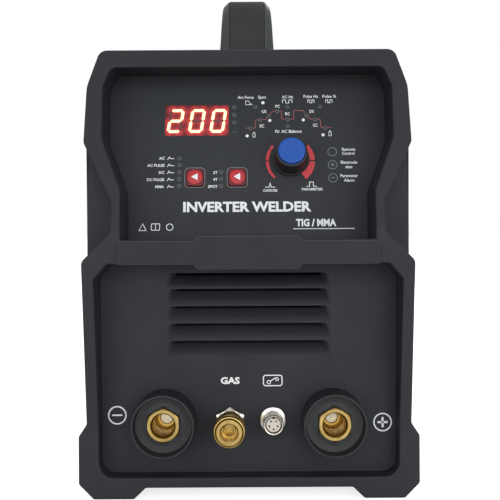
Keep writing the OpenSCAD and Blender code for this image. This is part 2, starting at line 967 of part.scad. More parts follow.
module fan_rotor() {
    color("#2b2d30") translate([0, 0, fan_z]) union() {
        difference() {
            union() {
                bar_y(cup_r, fan_front + 8, fan_front + 36);
                for (i = [0 : fan_blades - 1])
                    rotate([0, i * 360 / fan_blades, 0]) fan_blade();
            }
            bar_y(cup_r - 5, fan_front + 7, fan_front + 33);
        }
        bar_y(2, fan_front + 3, fan_front + 34);
    }
}

// Welded wire guard: rings on four radial wires
module fan_guard() {
    color("#a7abae") translate([0, rear_y + rear_t, fan_z]) {
        for (r = [13 : 9 : 58])
            translate([0, 2.4, 0]) rotate([90, 0, 0])
                rotate_extrude() translate([r, 0]) circle(r = 1, $fn = 24);
        for (a = [45 : 90 : 315])
            rotate([0, a, 0]) translate([11, 1, 0]) rotate([0, 90, 0]) cylinder(r = 0.9, h = 60, $fn = 24);
        fan_corners() difference() {
            bar_y(5, 0.02, 2);
            bar_y(2.3, -1, 3);
        }
    }
}

module fan_screws() {
    color("#9a9da0") translate([0, 0, fan_z]) fan_corners() {
        bar_y(2, fan_front - 4, rear_y + rear_t + 2.1);
        bar_y(3.8, rear_y + rear_t + 2.05, rear_y + rear_t + 4.4);
    }
}

rocker_r = 14;

module power_switch_body() {
    color("#1f2022") translate([switch_at[0], 0, switch_at[1]]) difference() {
        union() {
            along_y(rocker_y - 18, rear_y + rear_t + 0.5) square([20.6, 33.6], center = true);
            along_y(rear_y + rear_t, rear_y + rear_t + 2.5) rounded_square([26, 39], 2);
        }
        translate([-8.7, rocker_y, 0]) rotate([0, 90, 0]) cylinder(r = rocker_r + 0.4, h = 17.4);
        along_y(rocker_y, rear_y + 20) square([17.4, 2 * rocker_r + 0.8], center = true);
    }
}

rocker_rest = 12;

// Rocker key, resting with its lower end pressed in
module power_rocker() {
    color("#a52a2c") translate([switch_at[0], rocker_y, switch_at[1]]) rotate([rocker_rest, 0, 0])
        intersection() {
            along_x(-8.5, 8.5) polygon([
                [-5, -13], [7, -13], [4.2, 0], [7, 13], [-5, 13],
            ]);
            translate([-9, 0, 0]) rotate([0, 90, 0]) cylinder(r = rocker_r, h = 18);
        }
}

module cable_gland() {
    color("#2a2b2e") translate([gland_at[0], 0, gland_at[1]]) difference() {
        union() {
            translate([0, rear_y + rear_t + 5, 0]) rotate([90, 0, 0]) cylinder(d = 27, h = 5, $fn = 6);
            bar_y(9, rear_y - 14, rear_y + rear_t + 10);
            translate([0, rear_y - 0.1, 0]) rotate([90, 0, 0]) cylinder(d = 27, h = 4, $fn = 6);
        }
        bar_y(5.5, rear_y - 20, rear_y + 30);
    }
}

module gland_cap() {
    color("#2a2b2e") translate([gland_at[0], 0, gland_at[1]]) difference() {
        union() {
            translate([0, rear_y + rear_t + 14, 0]) rotate([90, 0, 0]) cylinder(d = 25, h = 8.9, $fn = 6);
            translate([0, rear_y + rear_t + 13.9, 0]) rotate([-90, 0, 0]) cylinder(r1 = 10, r2 = 7, h = 5);
        }
        bar_y(9.1, rear_y, rear_y + rear_t + 10.1);
        bar_y(5.5, rear_y, rear_y + 30);
    }
}

cable_r = 5.3;

// Mains lead: a sheath, with three cores bared at the free end
module mains_cable() {
    translate([gland_at[0], 0, gland_at[1]]) {
        color("#1c1c1e") bar_y(cable_r, rear_y - 40, rear_y + 24);
        color("#6a3f22")
            for (a = [90, 210, 330])
                rotate([0, a, 0]) translate([2.4, 0, 0]) bar_y(1.5, rear_y + 23.9, tail_y - 0.5);
    }
}

module gas_inlet() {
    color("#b98d43") translate([inlet_at[0], 0, inlet_at[1]]) difference() {
        union() {
            translate([0, rear_y + rear_t + 6, 0]) rotate([90, 0, 0]) cylinder(d = 19.6, h = 5.95, $fn = 6);
            bar_y(6.58, rear_y - 10, rear_y + rear_t + 20);
            translate([0, rear_y - 0.05, 0]) rotate([90, 0, 0]) cylinder(d = 19.6, h = 4, $fn = 6);
            bar_y(4, rear_y - 18, rear_y - 9.9);
        }
        bar_y(2.6, rear_y - 20, rear_y + 30);
    }
}

// ---------------------------------------------------------------- inside

valve_y = 120;
valve_x = -30;
valve_z = 30;
valve_stroke = 2;

// Gas valve: a brass block with a coil on top
module gas_valve_body() {
    color("#8a6a36") translate([valve_x, valve_y, valve_z]) difference() {
        union() {
            translate([-13, -13, -12]) cube([26, 26, 22]);
            translate([0, 0, 9.9]) cylinder(r = 12, h = 28);
        }
        translate([0, 0, 2]) cylinder(r = 4.1, h = valve_stroke + 28);
        rotate([90, 0, 0]) cylinder(r = 2.5, h = 30, center = true);
    }
}

module gas_valve_plunger() {
    color("#b9bdc0") translate([valve_x, valve_y, valve_z + 2.7]) cylinder(r = 4, h = 24);
}

hose_r = 4.6;
hose_x = -88;
hose_z = case_bottom + pan_t + hose_r + 0.4;

// Gas hoses: inlet to valve, and valve to the front outlet
module gas_hoses() {
    back = rear_y - 18.2;
    front = nose_y + 62.2;
    color("#c8512f") {
        hose(bent([
            [inlet_at[0], back, inlet_at[1]], [inlet_at[0], back - 20, inlet_at[1]],
            [valve_x, valve_y + 28, valve_z], [valve_x, valve_y + 13.2, valve_z],
        ], 9), hose_r);
        hose(bent([
            [valve_x, valve_y - 13.2, valve_z], [valve_x, valve_y - 31, valve_z],
            [hose_x, valve_y - 38, hose_z], [hose_x, -118, hose_z], [gas_at[0], -118, hose_z],
            [gas_at[0], -136, gas_at[1]], [gas_at[0], front, gas_at[1]],
        ], 9), hose_r);
    }
}

board_z = 150;
board_x = 86;
board_y = [-95, 140];
standoff_spots = [for (x = [-78, 78], y = [-71, 131]) [x, y]];

// Main circuit board across the case
module power_board() {
    color("#1c5a33") difference() {
        translate([-board_x, board_y[0], board_z]) cube([2 * board_x, board_y[1] - board_y[0], 1.6]);
        for (at = standoff_spots)
            translate([at[0], at[1], board_z - 1]) cylinder(r = 2.1, h = 4);
    }
}

module board_standoffs() {
    color("#c4c8ca")
        for (at = standoff_spots)
            translate([at[0], at[1], 0]) {
                translate([0, 0, case_bottom + pan_t + 0.05])
                    cylinder(r = 4, h = board_z - case_bottom - pan_t - 0.1);
                translate([0, 0, board_z - 0.1]) cylinder(r = 2, h = 5);
            }
}

module bulk_capacitors() {
    color("#2a3a5a")
        for (x = [-60, -20, 20, 60])
            translate([x, -66, board_z + 1.65]) cylinder(r = 15, h = 45);
}

// An extruded heat sink: a base with fins along Y
module heatsink(x0, x1, y0, y1, base, h, fins) {
    translate([x0, y0, 0]) cube([x1 - x0, y1 - y0, base]);
    for (i = [0 : fins - 1])
        translate([x0 + i * (x1 - x0 - 2) / (fins - 1), y0, base - eps]) cube([2, y1 - y0, h - base]);
}

module primary_heatsink() {
    color("#b6babd") translate([0, 0, board_z + 1.65]) heatsink(-70, 70, -20, 110, 6, 55, 15);
}

module secondary_heatsink() {
    color("#b6babd") translate([0, 0, case_bottom + pan_t + 0.05]) heatsink(-45, 75, 5, 74, 6, 60, 14);
}

// Ferrite core of the main transformer, a closed frame with a middle leg
module transformer_core() {
    color("#3a3b3d") translate([0, -52, case_bottom + pan_t + 0.05]) difference() {
        translate([-40, 0, 0]) cube([80, 40, 72]);
        for (side = [-1, 1])
            translate([side * 20 - 10, -1, 13]) cube([20, 42, 46]);
    }
}

module transformer_windings() {
    color("#b5702f") translate([0, -32, case_bottom + pan_t + 0.05 + 14]) difference() {
        translate([-18, -29, 0]) cube([36, 58, 44]);
        translate([-10.3, -20.3, -1]) cube([20.6, 40.6, 50]);
    }
}

module output_choke() {
    color("#8c5326") translate([-socket_x, -90, coil_z]) rotate([90, 0, 0])
        rotate_extrude() translate([19, 0])
            polygon(rounded([[-8, -12, 4], [10, -12, 4], [10, 12, 4], [-8, 12, 4]]));
}

module hf_coil() {
    color("#7a4a24") translate([socket_x, -90, coil_z]) rotate([90, 0, 0])
        rotate_extrude() translate([20, 0]) circle(r = 8.9);
}

// ---------------------------------------------------------------- nodes

front_bezel();
centre_bar();
control_panel();
control_board();
led_display();
display_window();
indicator_leds();
tact_switches();
mode_button();
trigger_button();
encoder_body();
encoder_nut();
encoder_plunger();
encoder_shaft();
knob_body();
knob_cap();
panel_screws();
socket_shells();
socket_lock_nuts();
socket_cores();
socket_bolts();
busbars();
gas_outlet_body();
gas_outlet_sleeve();
gas_outlet_poppet();
remote_socket_shell();
remote_socket_insert();
remote_socket_nut();
case_cover();
base_pan();
case_screws();
handle_frame();
handle_grip();
handle_screws();
rear_bezel();
rear_panel();
rear_screws();
fan_frame();
fan_rotor();
fan_guard();
fan_screws();
power_switch_body();
power_rocker();
cable_gland();
gland_cap();
mains_cable();
gas_inlet();
gas_valve_body();
gas_valve_plunger();
gas_hoses();
power_board();
board_standoffs();
bulk_capacitors();
primary_heatsink();
secondary_heatsink();
transformer_core();
transformer_windings();
output_choke();
hf_coil();
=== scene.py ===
"""Looks of a portable inverter welding machine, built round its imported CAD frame."""

import math

import bmesh
import bpy
from mathutils import Matrix, Vector
from mathutils.geometry import delaunay_2d_cdt


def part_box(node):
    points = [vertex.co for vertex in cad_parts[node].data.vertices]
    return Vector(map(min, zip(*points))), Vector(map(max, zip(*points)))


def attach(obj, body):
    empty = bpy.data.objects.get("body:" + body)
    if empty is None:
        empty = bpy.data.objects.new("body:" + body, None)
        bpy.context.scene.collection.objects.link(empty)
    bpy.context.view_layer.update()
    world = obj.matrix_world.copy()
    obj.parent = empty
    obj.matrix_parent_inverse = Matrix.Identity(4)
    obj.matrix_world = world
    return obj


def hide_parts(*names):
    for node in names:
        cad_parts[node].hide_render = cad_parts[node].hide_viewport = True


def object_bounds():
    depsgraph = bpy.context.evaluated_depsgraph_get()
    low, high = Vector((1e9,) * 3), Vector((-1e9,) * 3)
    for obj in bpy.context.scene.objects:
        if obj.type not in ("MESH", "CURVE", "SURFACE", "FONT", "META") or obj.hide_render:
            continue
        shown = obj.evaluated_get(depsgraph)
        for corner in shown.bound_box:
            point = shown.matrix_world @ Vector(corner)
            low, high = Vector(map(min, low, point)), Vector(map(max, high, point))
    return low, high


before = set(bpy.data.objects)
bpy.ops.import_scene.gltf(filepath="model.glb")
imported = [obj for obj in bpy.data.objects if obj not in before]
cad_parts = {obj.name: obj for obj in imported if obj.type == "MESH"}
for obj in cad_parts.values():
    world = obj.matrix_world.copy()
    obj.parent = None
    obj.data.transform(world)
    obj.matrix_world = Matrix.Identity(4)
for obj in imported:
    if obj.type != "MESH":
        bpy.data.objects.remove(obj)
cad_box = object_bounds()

MM = 0.001
NOSE = cad_box[0].y / MM
POCKET = NOSE + 30
BACKWARDS = (0, 1, 0)
rad = math.radians


# ---------------------------------------------------------------- materials

def linear(rgb):
    return [((c / 255 + 0.055) / 1.055) ** 2.4 if c > 10 else c / 255 / 12.92 for c in rgb]


class Shader:
    """Builds a Principled material from procedural layers."""

    def __init__(self, name, rgb, rough=0.5, metal=0.0, specular=0.5):
        self.mat = bpy.data.materials.new(name)
        self.mat.use_nodes = True
        self.tree = self.mat.node_tree
        self.bsdf = self.tree.nodes["Principled BSDF"]
        self.base = linear(rgb)
        self.bsdf.inputs["Metallic"].default_value = metal
        self.bsdf.inputs["Specular IOR Level"].default_value = specular
        self.rough = rough
        self.coord = self.add("ShaderNodeTexCoord").outputs["Object"]
        self.colour = None
        self.normal = None

    def add(self, kind, **values):
        node = self.tree.nodes.new(kind)
        for key, value in values.items():
            if hasattr(node, key):
                setattr(node, key, value)
            else:
                node.inputs[key.replace("_", " ")].default_value = value
        return node

    def link(self, a, b):
        self.tree.links.new(a, b)

    def stretched(self, scale):
        node = self.add("ShaderNodeMapping")
        node.inputs["Scale"].default_value = scale
        self.link(self.coord, node.inputs["Vector"])
        return node.outputs["Vector"]

    def noise(self, scale, detail=3.0, stretch=None, roughness=0.55):
        node = self.add("ShaderNodeTexNoise", Scale=scale, Detail=detail, Roughness=roughness)
        self.link(self.stretched(stretch) if stretch else self.coord, node.inputs["Vector"])
        return node.outputs["Fac"]

    def spread(self, fac, low, high, to_low=0.0, to_high=1.0):
        node = self.add("ShaderNodeMapRange")
        for key, value in (("From Min", low), ("From Max", high), ("To Min", to_low), ("To Max", to_high)):
            node.inputs[key].default_value = value
        self.link(fac, node.inputs["Value"])
        return node.outputs["Result"]

    def mix(self, fac, a, b):
        node = self.add("ShaderNodeMix", data_type="RGBA")
        self.link(fac, node.inputs["Factor"])
        for value, socket in ((a, node.inputs[6]), (b, node.inputs[7])):
            if isinstance(value, (list, tuple)):
                socket.default_value = (*value, 1.0)
            else:
                self.link(value, socket)
        return node.outputs[2]

    def mottle(self, scale=25.0, amount=0.1, tint=None, stretch=None):
        """Patches of lighter and darker colour."""
        fac = self.spread(self.noise(scale, 4.0, stretch), 0.3, 0.7)
        low = [c * (1 - amount) for c in self.base]
        high = [c * (1 + amount) for c in (linear(tint) if tint else self.base)]
        self.colour = self.mix(fac, low, high)
        return self

    def fleck(self, scale, rgb, low=0.62, high=0.72, share=0.5):
        """Sparse specks of another colour."""
        fac = self.spread(self.noise(scale, 4.0, None, 0.65), low, high, 0.0, share)
        self.colour = self.mix(fac, self.colour or list(self.base), linear(rgb))
        return self

    def worn(self, rgb, amount=0.5):
        """Edges rubbed to another colour."""
        geometry = self.add("ShaderNodeNewGeometry")
        edge = self.spread(geometry.outputs["Pointiness"], 0.52, 0.6, 0.0, amount)
        patch = self.spread(self.noise(180, 4), 0.35, 0.65)
        both = self.add("ShaderNodeMath", operation="MULTIPLY")
        self.link(edge, both.inputs[0])
        self.link(patch, both.inputs[1])
        self.colour = self.mix(both.outputs[0], self.colour or list(self.base), linear(rgb))
        return self

    def bump(self, height, depth, strength=1.0):
        node = self.add("ShaderNodeBump", Strength=strength, Distance=depth)
        self.link(height, node.inputs["Height"])
        if self.normal is not None:
            self.link(self.normal, node.inputs["Normal"])
        self.normal = node.outputs["Normal"]
        return self

    def grain(self, scale=2200.0, depth=0.00003, strength=0.6, detail=3.0, stretch=None):
        return self.bump(self.noise(scale, detail, stretch), depth, strength)

    def pebble(self, scale=1400.0, depth=0.00004, strength=0.5):
        """The pitted texture of a spark-eroded mould."""
        cells = self.add("ShaderNodeTexVoronoi", Scale=scale, feature="SMOOTH_F1")
        self.link(self.coord, cells.inputs["Vector"])
        return self.bump(cells.outputs["Distance"], depth, strength)

    def rings(self, axis, scale, depth, strength=0.5, distortion=0.4):
        """Turning marks round an axis, or wire turns along it."""
        wave = self.add("ShaderNodeTexWave", bands_direction=axis, Scale=scale, Distortion=distortion)
        self.link(self.coord, wave.inputs["Vector"])
        return self.bump(wave.outputs["Fac"], depth, strength)

    def gloss(self, scale=60.0, amount=0.08, stretch=None):
        fac = self.spread(self.noise(scale, 4.0, stretch), 0.3, 0.7, self.rough - amount, self.rough + amount)
        self.link(fac, self.bsdf.inputs["Roughness"])
        return self

    def glow(self, rgb, strength):
        self.bsdf.inputs["Emission Color"].default_value = (*linear(rgb), 1.0)
        self.bsdf.inputs["Emission Strength"].default_value = strength
        return self

    def done(self):
        if not self.bsdf.inputs["Roughness"].is_linked:
            self.gloss()
        if self.colour is None:
            self.mottle()
        self.link(self.colour, self.bsdf.inputs["Base Color"])
        if self.normal is not None:
            self.link(self.normal, self.bsdf.inputs["Normal"])
        return self.mat


def plastic(name, rgb, rough=0.52, pebble=1500.0, depth=0.00005, worn=None, specular=0.42, mottle=0.04):
    made = Shader(name, rgb, rough, specular=specular).mottle(18, mottle)
    made.fleck(420, [c * 1.2 + 5 for c in rgb], 0.6, 0.8, 0.16)
    if worn:
        made.worn(worn, 0.55)
    return made.pebble(pebble, depth, 0.5).grain(5200, depth * 0.4, 0.4).gloss(45, 0.06).done()


def metal(name, rgb, rough=0.28, tint=None, marks="Y", marks_scale=900.0, grime=None):
    made = Shader(name, rgb, rough, metal=1.0).mottle(90, 0.12, tint)
    if grime:
        made.fleck(260, grime, 0.55, 0.75, 0.6)
    made.rings(marks, marks_scale, 0.00001, 0.25).grain(3500, 0.000008, 0.4)
    return made.gloss(220, 0.09).done()


FRAME = plastic("moulded_frame", (39, 41, 46), 0.6, 1700.0, 0.00006, specular=0.26, mottle=0.03)
BAR = plastic("moulded_bar", (35, 37, 42), 0.6, 1900.0, 0.00005, specular=0.26, mottle=0.03)
# The lighter grey below is a painted highlight for the slanted rim faces of the nose bar, standing for light
# caught along its edges.
BAR_HIGHLIGHT = plastic("bar_painted_highlight", (74, 77, 82), 0.5, 1900.0, 0.00003, specular=0.35)
FILM = plastic("printed_film", (41, 44, 48), 0.6, 3200.0, 0.000025, specular=0.3, mottle=0.03)
COLLAR = plastic("moulded_collar", (33, 35, 39), 0.52, 2100.0, 0.00004, worn=(70, 72, 76))
HANDLE = plastic("handle_shell", (62, 65, 66), 0.45, 1500.0, 0.00005, worn=(112, 114, 116))
KNOB = plastic("knob_black", (30, 31, 34), 0.42, 2600.0, 0.00003, worn=(72, 74, 78))
KNOB_BLUE = plastic("knob_blue", (12, 73, 157), 0.42, 2400.0, 0.00003, specular=0.4, mottle=0.06)
FAN = plastic("fan_plastic", (24, 25, 28), 0.4, 1900.0, 0.00003)
GLAND = plastic("gland_plastic", (26, 27, 30), 0.45, 1700.0, 0.00004, worn=(62, 64, 68))
SWITCH = plastic("switch_plastic", (22, 23, 25), 0.36, 2600.0, 0.00002)
ROCKER = plastic("rocker_red", (150, 22, 26), 0.25, 3200.0, 0.00001, mottle=0.05)
BUTTON_RIM = plastic("button_rim", (98, 26, 31), 0.5, 2600.0, 0.00003, mottle=0.06)
BUTTON_RED = plastic("button_red", (178, 44, 50), 0.45, 2600.0, 0.00003, mottle=0.05)
INSERT = plastic("insulator", (196, 190, 178), 0.5, 2600.0, 0.00003, mottle=0.05)
SLEEVE = plastic("capacitor_sleeve", (34, 48, 92), 0.3, 3000.0, 0.00001)
CERAMIC = plastic("ferrite", (52, 52, 54), 0.6, 2200.0, 0.00005)
CORE_BROWN = plastic("core_brown", (110, 62, 34), 0.45, 2600.0, 0.00002)
CORE_BLUE = plastic("core_blue", (40, 78, 160), 0.45, 2600.0, 0.00002)
CORE_GREEN = plastic("core_green", (120, 160, 40), 0.45, 2600.0, 0.00002)

RUBBER = (
    Shader("grip_rubber", (42, 42, 46), 0.66, specular=0.35).mottle(30, 0.12)
    .fleck(300, (70, 70, 72), 0.62, 0.8, 0.35).pebble(2600, 0.00006, 0.5).gloss(50, 0.06).done()
)
CABLE = (
    Shader("cable_rubber", (24, 24, 26), 0.6, specular=0.35).mottle(60, 0.15)
    .fleck(500, (52, 52, 54), 0.62, 0.8, 0.3).grain(1800, 0.00004, 0.5).gloss(50, 0.06).done()
)
PAINT = (
    Shader("powder_coat", (40, 42, 45), 0.46, specular=0.4).mottle(14, 0.03)
    .fleck(900, (56, 58, 62), 0.64, 0.8, 0.2)
    .grain(900, 0.00009, 0.35, 2.0).grain(3600, 0.00002, 0.4).gloss(30, 0.05).done()
)
ZINC = metal("zinc_plate", (190, 192, 196), 0.3, (206, 200, 180), "Z", 1400.0, (120, 122, 124))
GALVANISED = (
    Shader("galvanised", (150, 154, 158), 0.42, metal=1.0).mottle(120, 0.16)
    .fleck(60, (176, 180, 186), 0.5, 0.6, 0.7).grain(700, 0.00002, 0.3).gloss(80, 0.1).done()
)
BRASS = metal("brass", (182, 152, 88), 0.3, (198, 172, 108), "Y", 1300.0, (140, 112, 62))
BRASS_DARK = metal("brass_dark", (168, 126, 60), 0.34, (196, 152, 84), "Y", 1300.0, (110, 76, 40))
NICKEL = metal("nickel_plate", (198, 192, 182), 0.24, (214, 210, 202), "Y", 1500.0, (140, 132, 122))
COPPER = metal("copper", (196, 110, 72), 0.3, (214, 138, 98), "Y", 700.0, (120, 66, 46))
ALUMINIUM = (
    Shader("aluminium", (196, 199, 202), 0.34, metal=1.0).mottle(70, 0.1, stretch=(1, 0.05, 1))
    .grain(900, 0.00002, 0.5, stretch=(1, 0.02, 1)).gloss(160, 0.1, (1, 0.05, 1)).done()
)
WINDING = Shader("enamelled_wire", (150, 78, 36), 0.34, metal=0.6).mottle(60, 0.15)
WINDING = WINDING.rings("Z", 260.0, 0.0006, 0.9, distortion=0.0).gloss(160, 0.08).done()
HOSE = Shader("hose_rubber", (190, 84, 40), 0.5, specular=0.35).mottle(60, 0.12)
HOSE = HOSE.rings("DIAGONAL", 420.0, 0.0002, 0.6, distortion=0.0).gloss(60, 0.06).done()


def board_material():
    """Green solder mask over a web of tracks."""
    made = Shader("circuit_board", (24, 92, 50), 0.32).mottle(60, 0.12)
    cells = made.add("ShaderNodeTexVoronoi", Scale=120.0, feature="DISTANCE_TO_EDGE")
    made.link(made.coord, cells.inputs["Vector"])
    edges = made.spread(cells.outputs["Distance"], 0.03, 0.06)
    made.colour = made.mix(edges, linear((46, 128, 74)), made.colour)
    return made.bump(cells.outputs["Distance"], 0.00005, 0.3).done()


BOARD = board_material()


def ink(name, rgb, glow=0.0):
    made = Shader(name, rgb, 0.55, specular=0.3).mottle(700, 0.05)
    made.fleck(2600, [c * 0.7 for c in rgb], 0.66, 0.8, 0.3).grain(4200, 0.00001, 0.3)
    if glow:
        made.glow(rgb, glow)
    return made.done()


INK_WHITE = ink("ink_white", (226, 228, 230))
INK_GREY = ink("ink_grey", (128, 131, 134))
INK_LED = ink("led_window", (108, 110, 111))
INK_LED_CORE = ink("led_core", (58, 61, 62))
INK_PINK = ink("ink_pink", (172, 92, 96))
INK_RED = ink("ink_red", (200, 66, 74))
INK_GREEN = ink("ink_green", (62, 84, 64))
SEGMENT = ink("segment_lit", (255, 214, 160), glow=1.4)
SEGMENT_OFF = ink("segment_unlit", (116, 62, 66))


# ---------------------------------------------------------------- mesh helpers

def new_object(name, data):
    obj = bpy.data.objects.new(name, data)
    bpy.context.collection.objects.link(obj)
    return obj


def mesh_of(name, bm, mats=()):
    """A smooth-shaded mesh made from a bmesh, which is freed."""
    mesh = bpy.data.meshes.new(name)
    bm.to_mesh(mesh)
    bm.free()
    for mat in mats if isinstance(mats, (list, tuple)) else [mats]:
        mesh.materials.append(mat)
    mesh.polygons.foreach_set("use_smooth", [True] * len(mesh.polygons))
    return mesh


def piece(name, bm, mats, slot, body="machine", stands_for=(), smooth=32):
    """Turns a bmesh into a piece that rides on a body. Edges sharper than smooth degrees stay sharp."""
    bmesh.ops.recalc_face_normals(bm, faces=bm.faces)
    mesh = mesh_of(name, bm, mats)
    mesh.set_sharp_from_angle(angle=rad(smooth))
    return settle(new_object(name, mesh), slot, body, stands_for)


def settle(obj, slot, body, stands_for):
    """Says which body and CAD nodes a piece belongs to; slot is not used."""
    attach(obj, body)
    if stands_for:
        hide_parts(*stands_for)
    return obj


def final_mesh(obj):
    bpy.context.view_layer.update()
    return bpy.data.meshes.new_from_object(obj.evaluated_get(bpy.context.evaluated_depsgraph_get()))


def baked(obj):
    """Applies an object's modifiers."""
    done = final_mesh(obj)
    obj.modifiers.clear()
    obj.data = done
    return obj


def solid_of(node):
    """A bmesh of a CAD node, with its doubled corners joined."""
    bm = bmesh.new()
    bm.from_mesh(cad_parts[node].data)
    bmesh.ops.remove_doubles(bm, verts=bm.verts, dist=2e-6)
    return bm


def softened(name, node, mat, slot, radius=0.5, body="machine", widths=None, sharp=28):
    """A CAD node's shape with rounded edges. widths(middle, edge) may give an edge its own radius."""
    bm = solid_of(node)
    bmesh.ops.dissolve_limit(bm, angle_limit=rad(1), verts=bm.verts, edges=bm.edges)
    layer = bm.edges.layers.float.new("bevel_weight_edge")
    largest = 4.0
    for edge in bm.edges:
        if len(edge.link_faces) == 2 and edge.calc_face_angle(0.0) > rad(sharp):
            middle = (edge.verts[0].co + edge.verts[1].co) / 2 / MM
            edge[layer] = (widths(middle, edge) if widths else radius) / largest
    obj = new_object(name, mesh_of(name, bm, mat))
    bevel = obj.modifiers.new("round", "BEVEL")
    bevel.width, bevel.segments, bevel.limit_method = largest * MM, 2, "WEIGHT"
    bevel.use_clamp_overlap = False
    bevel.miter_outer = "MITER_ARC"
    obj.modifiers.new("normals", "WEIGHTED_NORMAL").weight = 80
    return settle(baked(obj), slot, body, (node,))


def carried(mat, *nodes):
    """Gives CAD nodes their material."""
    for node in nodes:
        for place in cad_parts[node].material_slots:
            place.material = mat


def lathe(bm, profile, origin, axis, steps=96, shape=None, mat=0):
    """Revolves (radius, height) points round an axis. Points on the axis close the ends; a profile that never
    meets the axis is joined up into a ring. shape(angle, radius, height) may change the radius."""
    axis = Vector(axis).normalized()
    side = Vector((1, 0, 0)) if abs(axis.x) < 0.9 else Vector((0, 1, 0))
    side = (side - axis * side.dot(axis)).normalized()
    up = axis.cross(side)
    origin = Vector(origin)
    rings = []
    for r, h in profile:
        base = origin + axis * h * MM
        if r < 1e-6:
            rings.append([bm.verts.new(base)])
            continue
        ring = []
        for k in range(steps):
            a = 2 * math.pi * k / steps
            rr = shape(a, r, h) if shape else r
            ring.append(bm.verts.new(base + (side * math.cos(a) + up * math.sin(a)) * rr * MM))
        rings.append(ring)
    closed = len(rings[0]) > 1 and len(rings[-1]) > 1
    pairs = list(zip(rings, rings[1:])) + ([(rings[-1], rings[0])] if closed else [])
    for a, b in pairs:
        for k in range(steps):
            j = (k + 1) % steps
            corners = [a[k % len(a)], a[j % len(a)], b[j % len(b)], b[k % len(b)]]
            unique = list(dict.fromkeys(corners))
            if len(unique) > 2:
                bm.faces.new(unique).material_index = mat


def turned(name, profile, at, mat, slot, body, node, smooth=30, axis=BACKWARDS, steps=96, shape=None):
    """A piece made on a lathe, which stands for a CAD node."""
    bm = bmesh.new()
    lathe(bm, profile, at, axis, steps, shape)
    piece(name, bm, mat, slot, body, (node,), smooth)


def sheet(bm, rows):
    """Quads over a grid of corners. Returns the corners round its rim."""
    for a, b in zip(rows, rows[1:]):
        for k in range(len(a) - 1):
            bm.faces.new([a[k], a[k + 1], b[k + 1], b[k]])
    return rows[0] + [row[-1] for row in rows[1:-1]] + rows[-1][::-1] + [row[0] for row in rows[-2:0:-1]]


def bridge(bm, rings, mat=0):
    """Quads between each ring of corners and the next."""
    for a, b in zip(rings, rings[1:]):
        for k in range(len(a)):
            j = (k + 1) % len(a)
            bm.faces.new([a[k], a[j], b[j], b[k]]).material_index = mat


def loft(bm, rings, mat=0):
    """A closed solid through rings of corners."""
    bridge(bm, rings, mat)
    for end in (rings[0], rings[-1]):
        bm.faces.new(end).material_index = mat


def prism(bm, loop, place, low, high, mat=0):
    """A flat shape given thickness: loop is (x, z) in mm, place maps (x, depth, z) to the frame."""
    loft(bm, [[bm.verts.new(place @ Vector((x, depth, z))) for x, z in loop] for depth in (low, high)], mat)


def corner(a, b, c, r, step=15, count=None):
    a, b, c = Vector(a), Vector(b), Vector(c)
    u, v = (a - b).normalized(), (c - b).normalized()
    half = u.angle(v) / 2
    if r <= 0 or abs(half - math.pi / 2) < 1e-4:
        return [tuple(b)]
    start, end = b + u * r / math.tan(half), b + v * r / math.tan(half)
    centre = b + (u + v).normalized() * r / math.sin(half)
    a0 = math.atan2(start.y - centre.y, start.x - centre.x)
    turn = (math.atan2(end.y - centre.y, end.x - centre.x) - a0 + 3 * math.pi) % (2 * math.pi) - math.pi
    steps = count or max(2, math.ceil(abs(math.degrees(turn)) / step - 0.001))
    return [
        (centre.x + r * math.cos(a0 + turn * i / steps), centre.y + r * math.sin(a0 + turn * i / steps))
        for i in range(steps + 1)
    ]


def rounded(points, radius=None, step=15, count=None):
    """A closed outline with its corners rounded."""
    out = []
    for i, point in enumerate(points):
        before, after = points[i - 1], points[(i + 1) % len(points)]
        r = radius if radius is not None else point[2]
        out += corner(before[:2], point[:2], after[:2], r, step, count)
    return out


def rounded_box(w, h, r, x=0.0, z=0.0):
    corners = ((-1, -1), (1, -1), (1, 1), (-1, 1))
    return rounded([(x + i * w / 2, z + j * h / 2) for i, j in corners], r)


def circle(r, x=0.0, z=0.0, steps=40):
    turns = [rad(360 * k / steps) for k in range(steps)]
    return [(x + r * math.cos(a), z + r * math.sin(a)) for a in turns]


# ---------------------------------------------------------------- places

def moved(x, y, z):
    return Matrix.Translation((x, y, z))


def rotated(degrees, axis):
    return Matrix.Rotation(rad(degrees), 4, axis)


SCALE = Matrix.Scale(MM, 4)
TILT = 14
PANEL = SCALE @ moved(0, NOSE + 36, 155) @ rotated(-TILT, "X")
FLOOR = SCALE @ moved(0, POCKET, 0)
SOCKET_X, SOCKET_Z = 51.0, 44.8
GAS_X, GAS_Z = -11.5, 43.5
REMOTE_X, REMOTE_Z = 14.5, 45.0
KNOB_V = 51.0
OUTWARD = (PANEL.to_3x3() @ Vector((0, -1, 0))).normalized()


def on_panel(x, v, high=0.0):
    return PANEL @ Vector((x, -high, v))


def middle(node):
    return centre_of(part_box(node))


def centre_of(box):
    return (box[0] + box[1]) / 2


def across_panel(node):
    """Where the middle of a CAD node lies on the panel: x, and v up the slope."""
    at = PANEL.inverted() @ middle(node)
    return at.x, at.z


# ---------------------------------------------------------------- printing

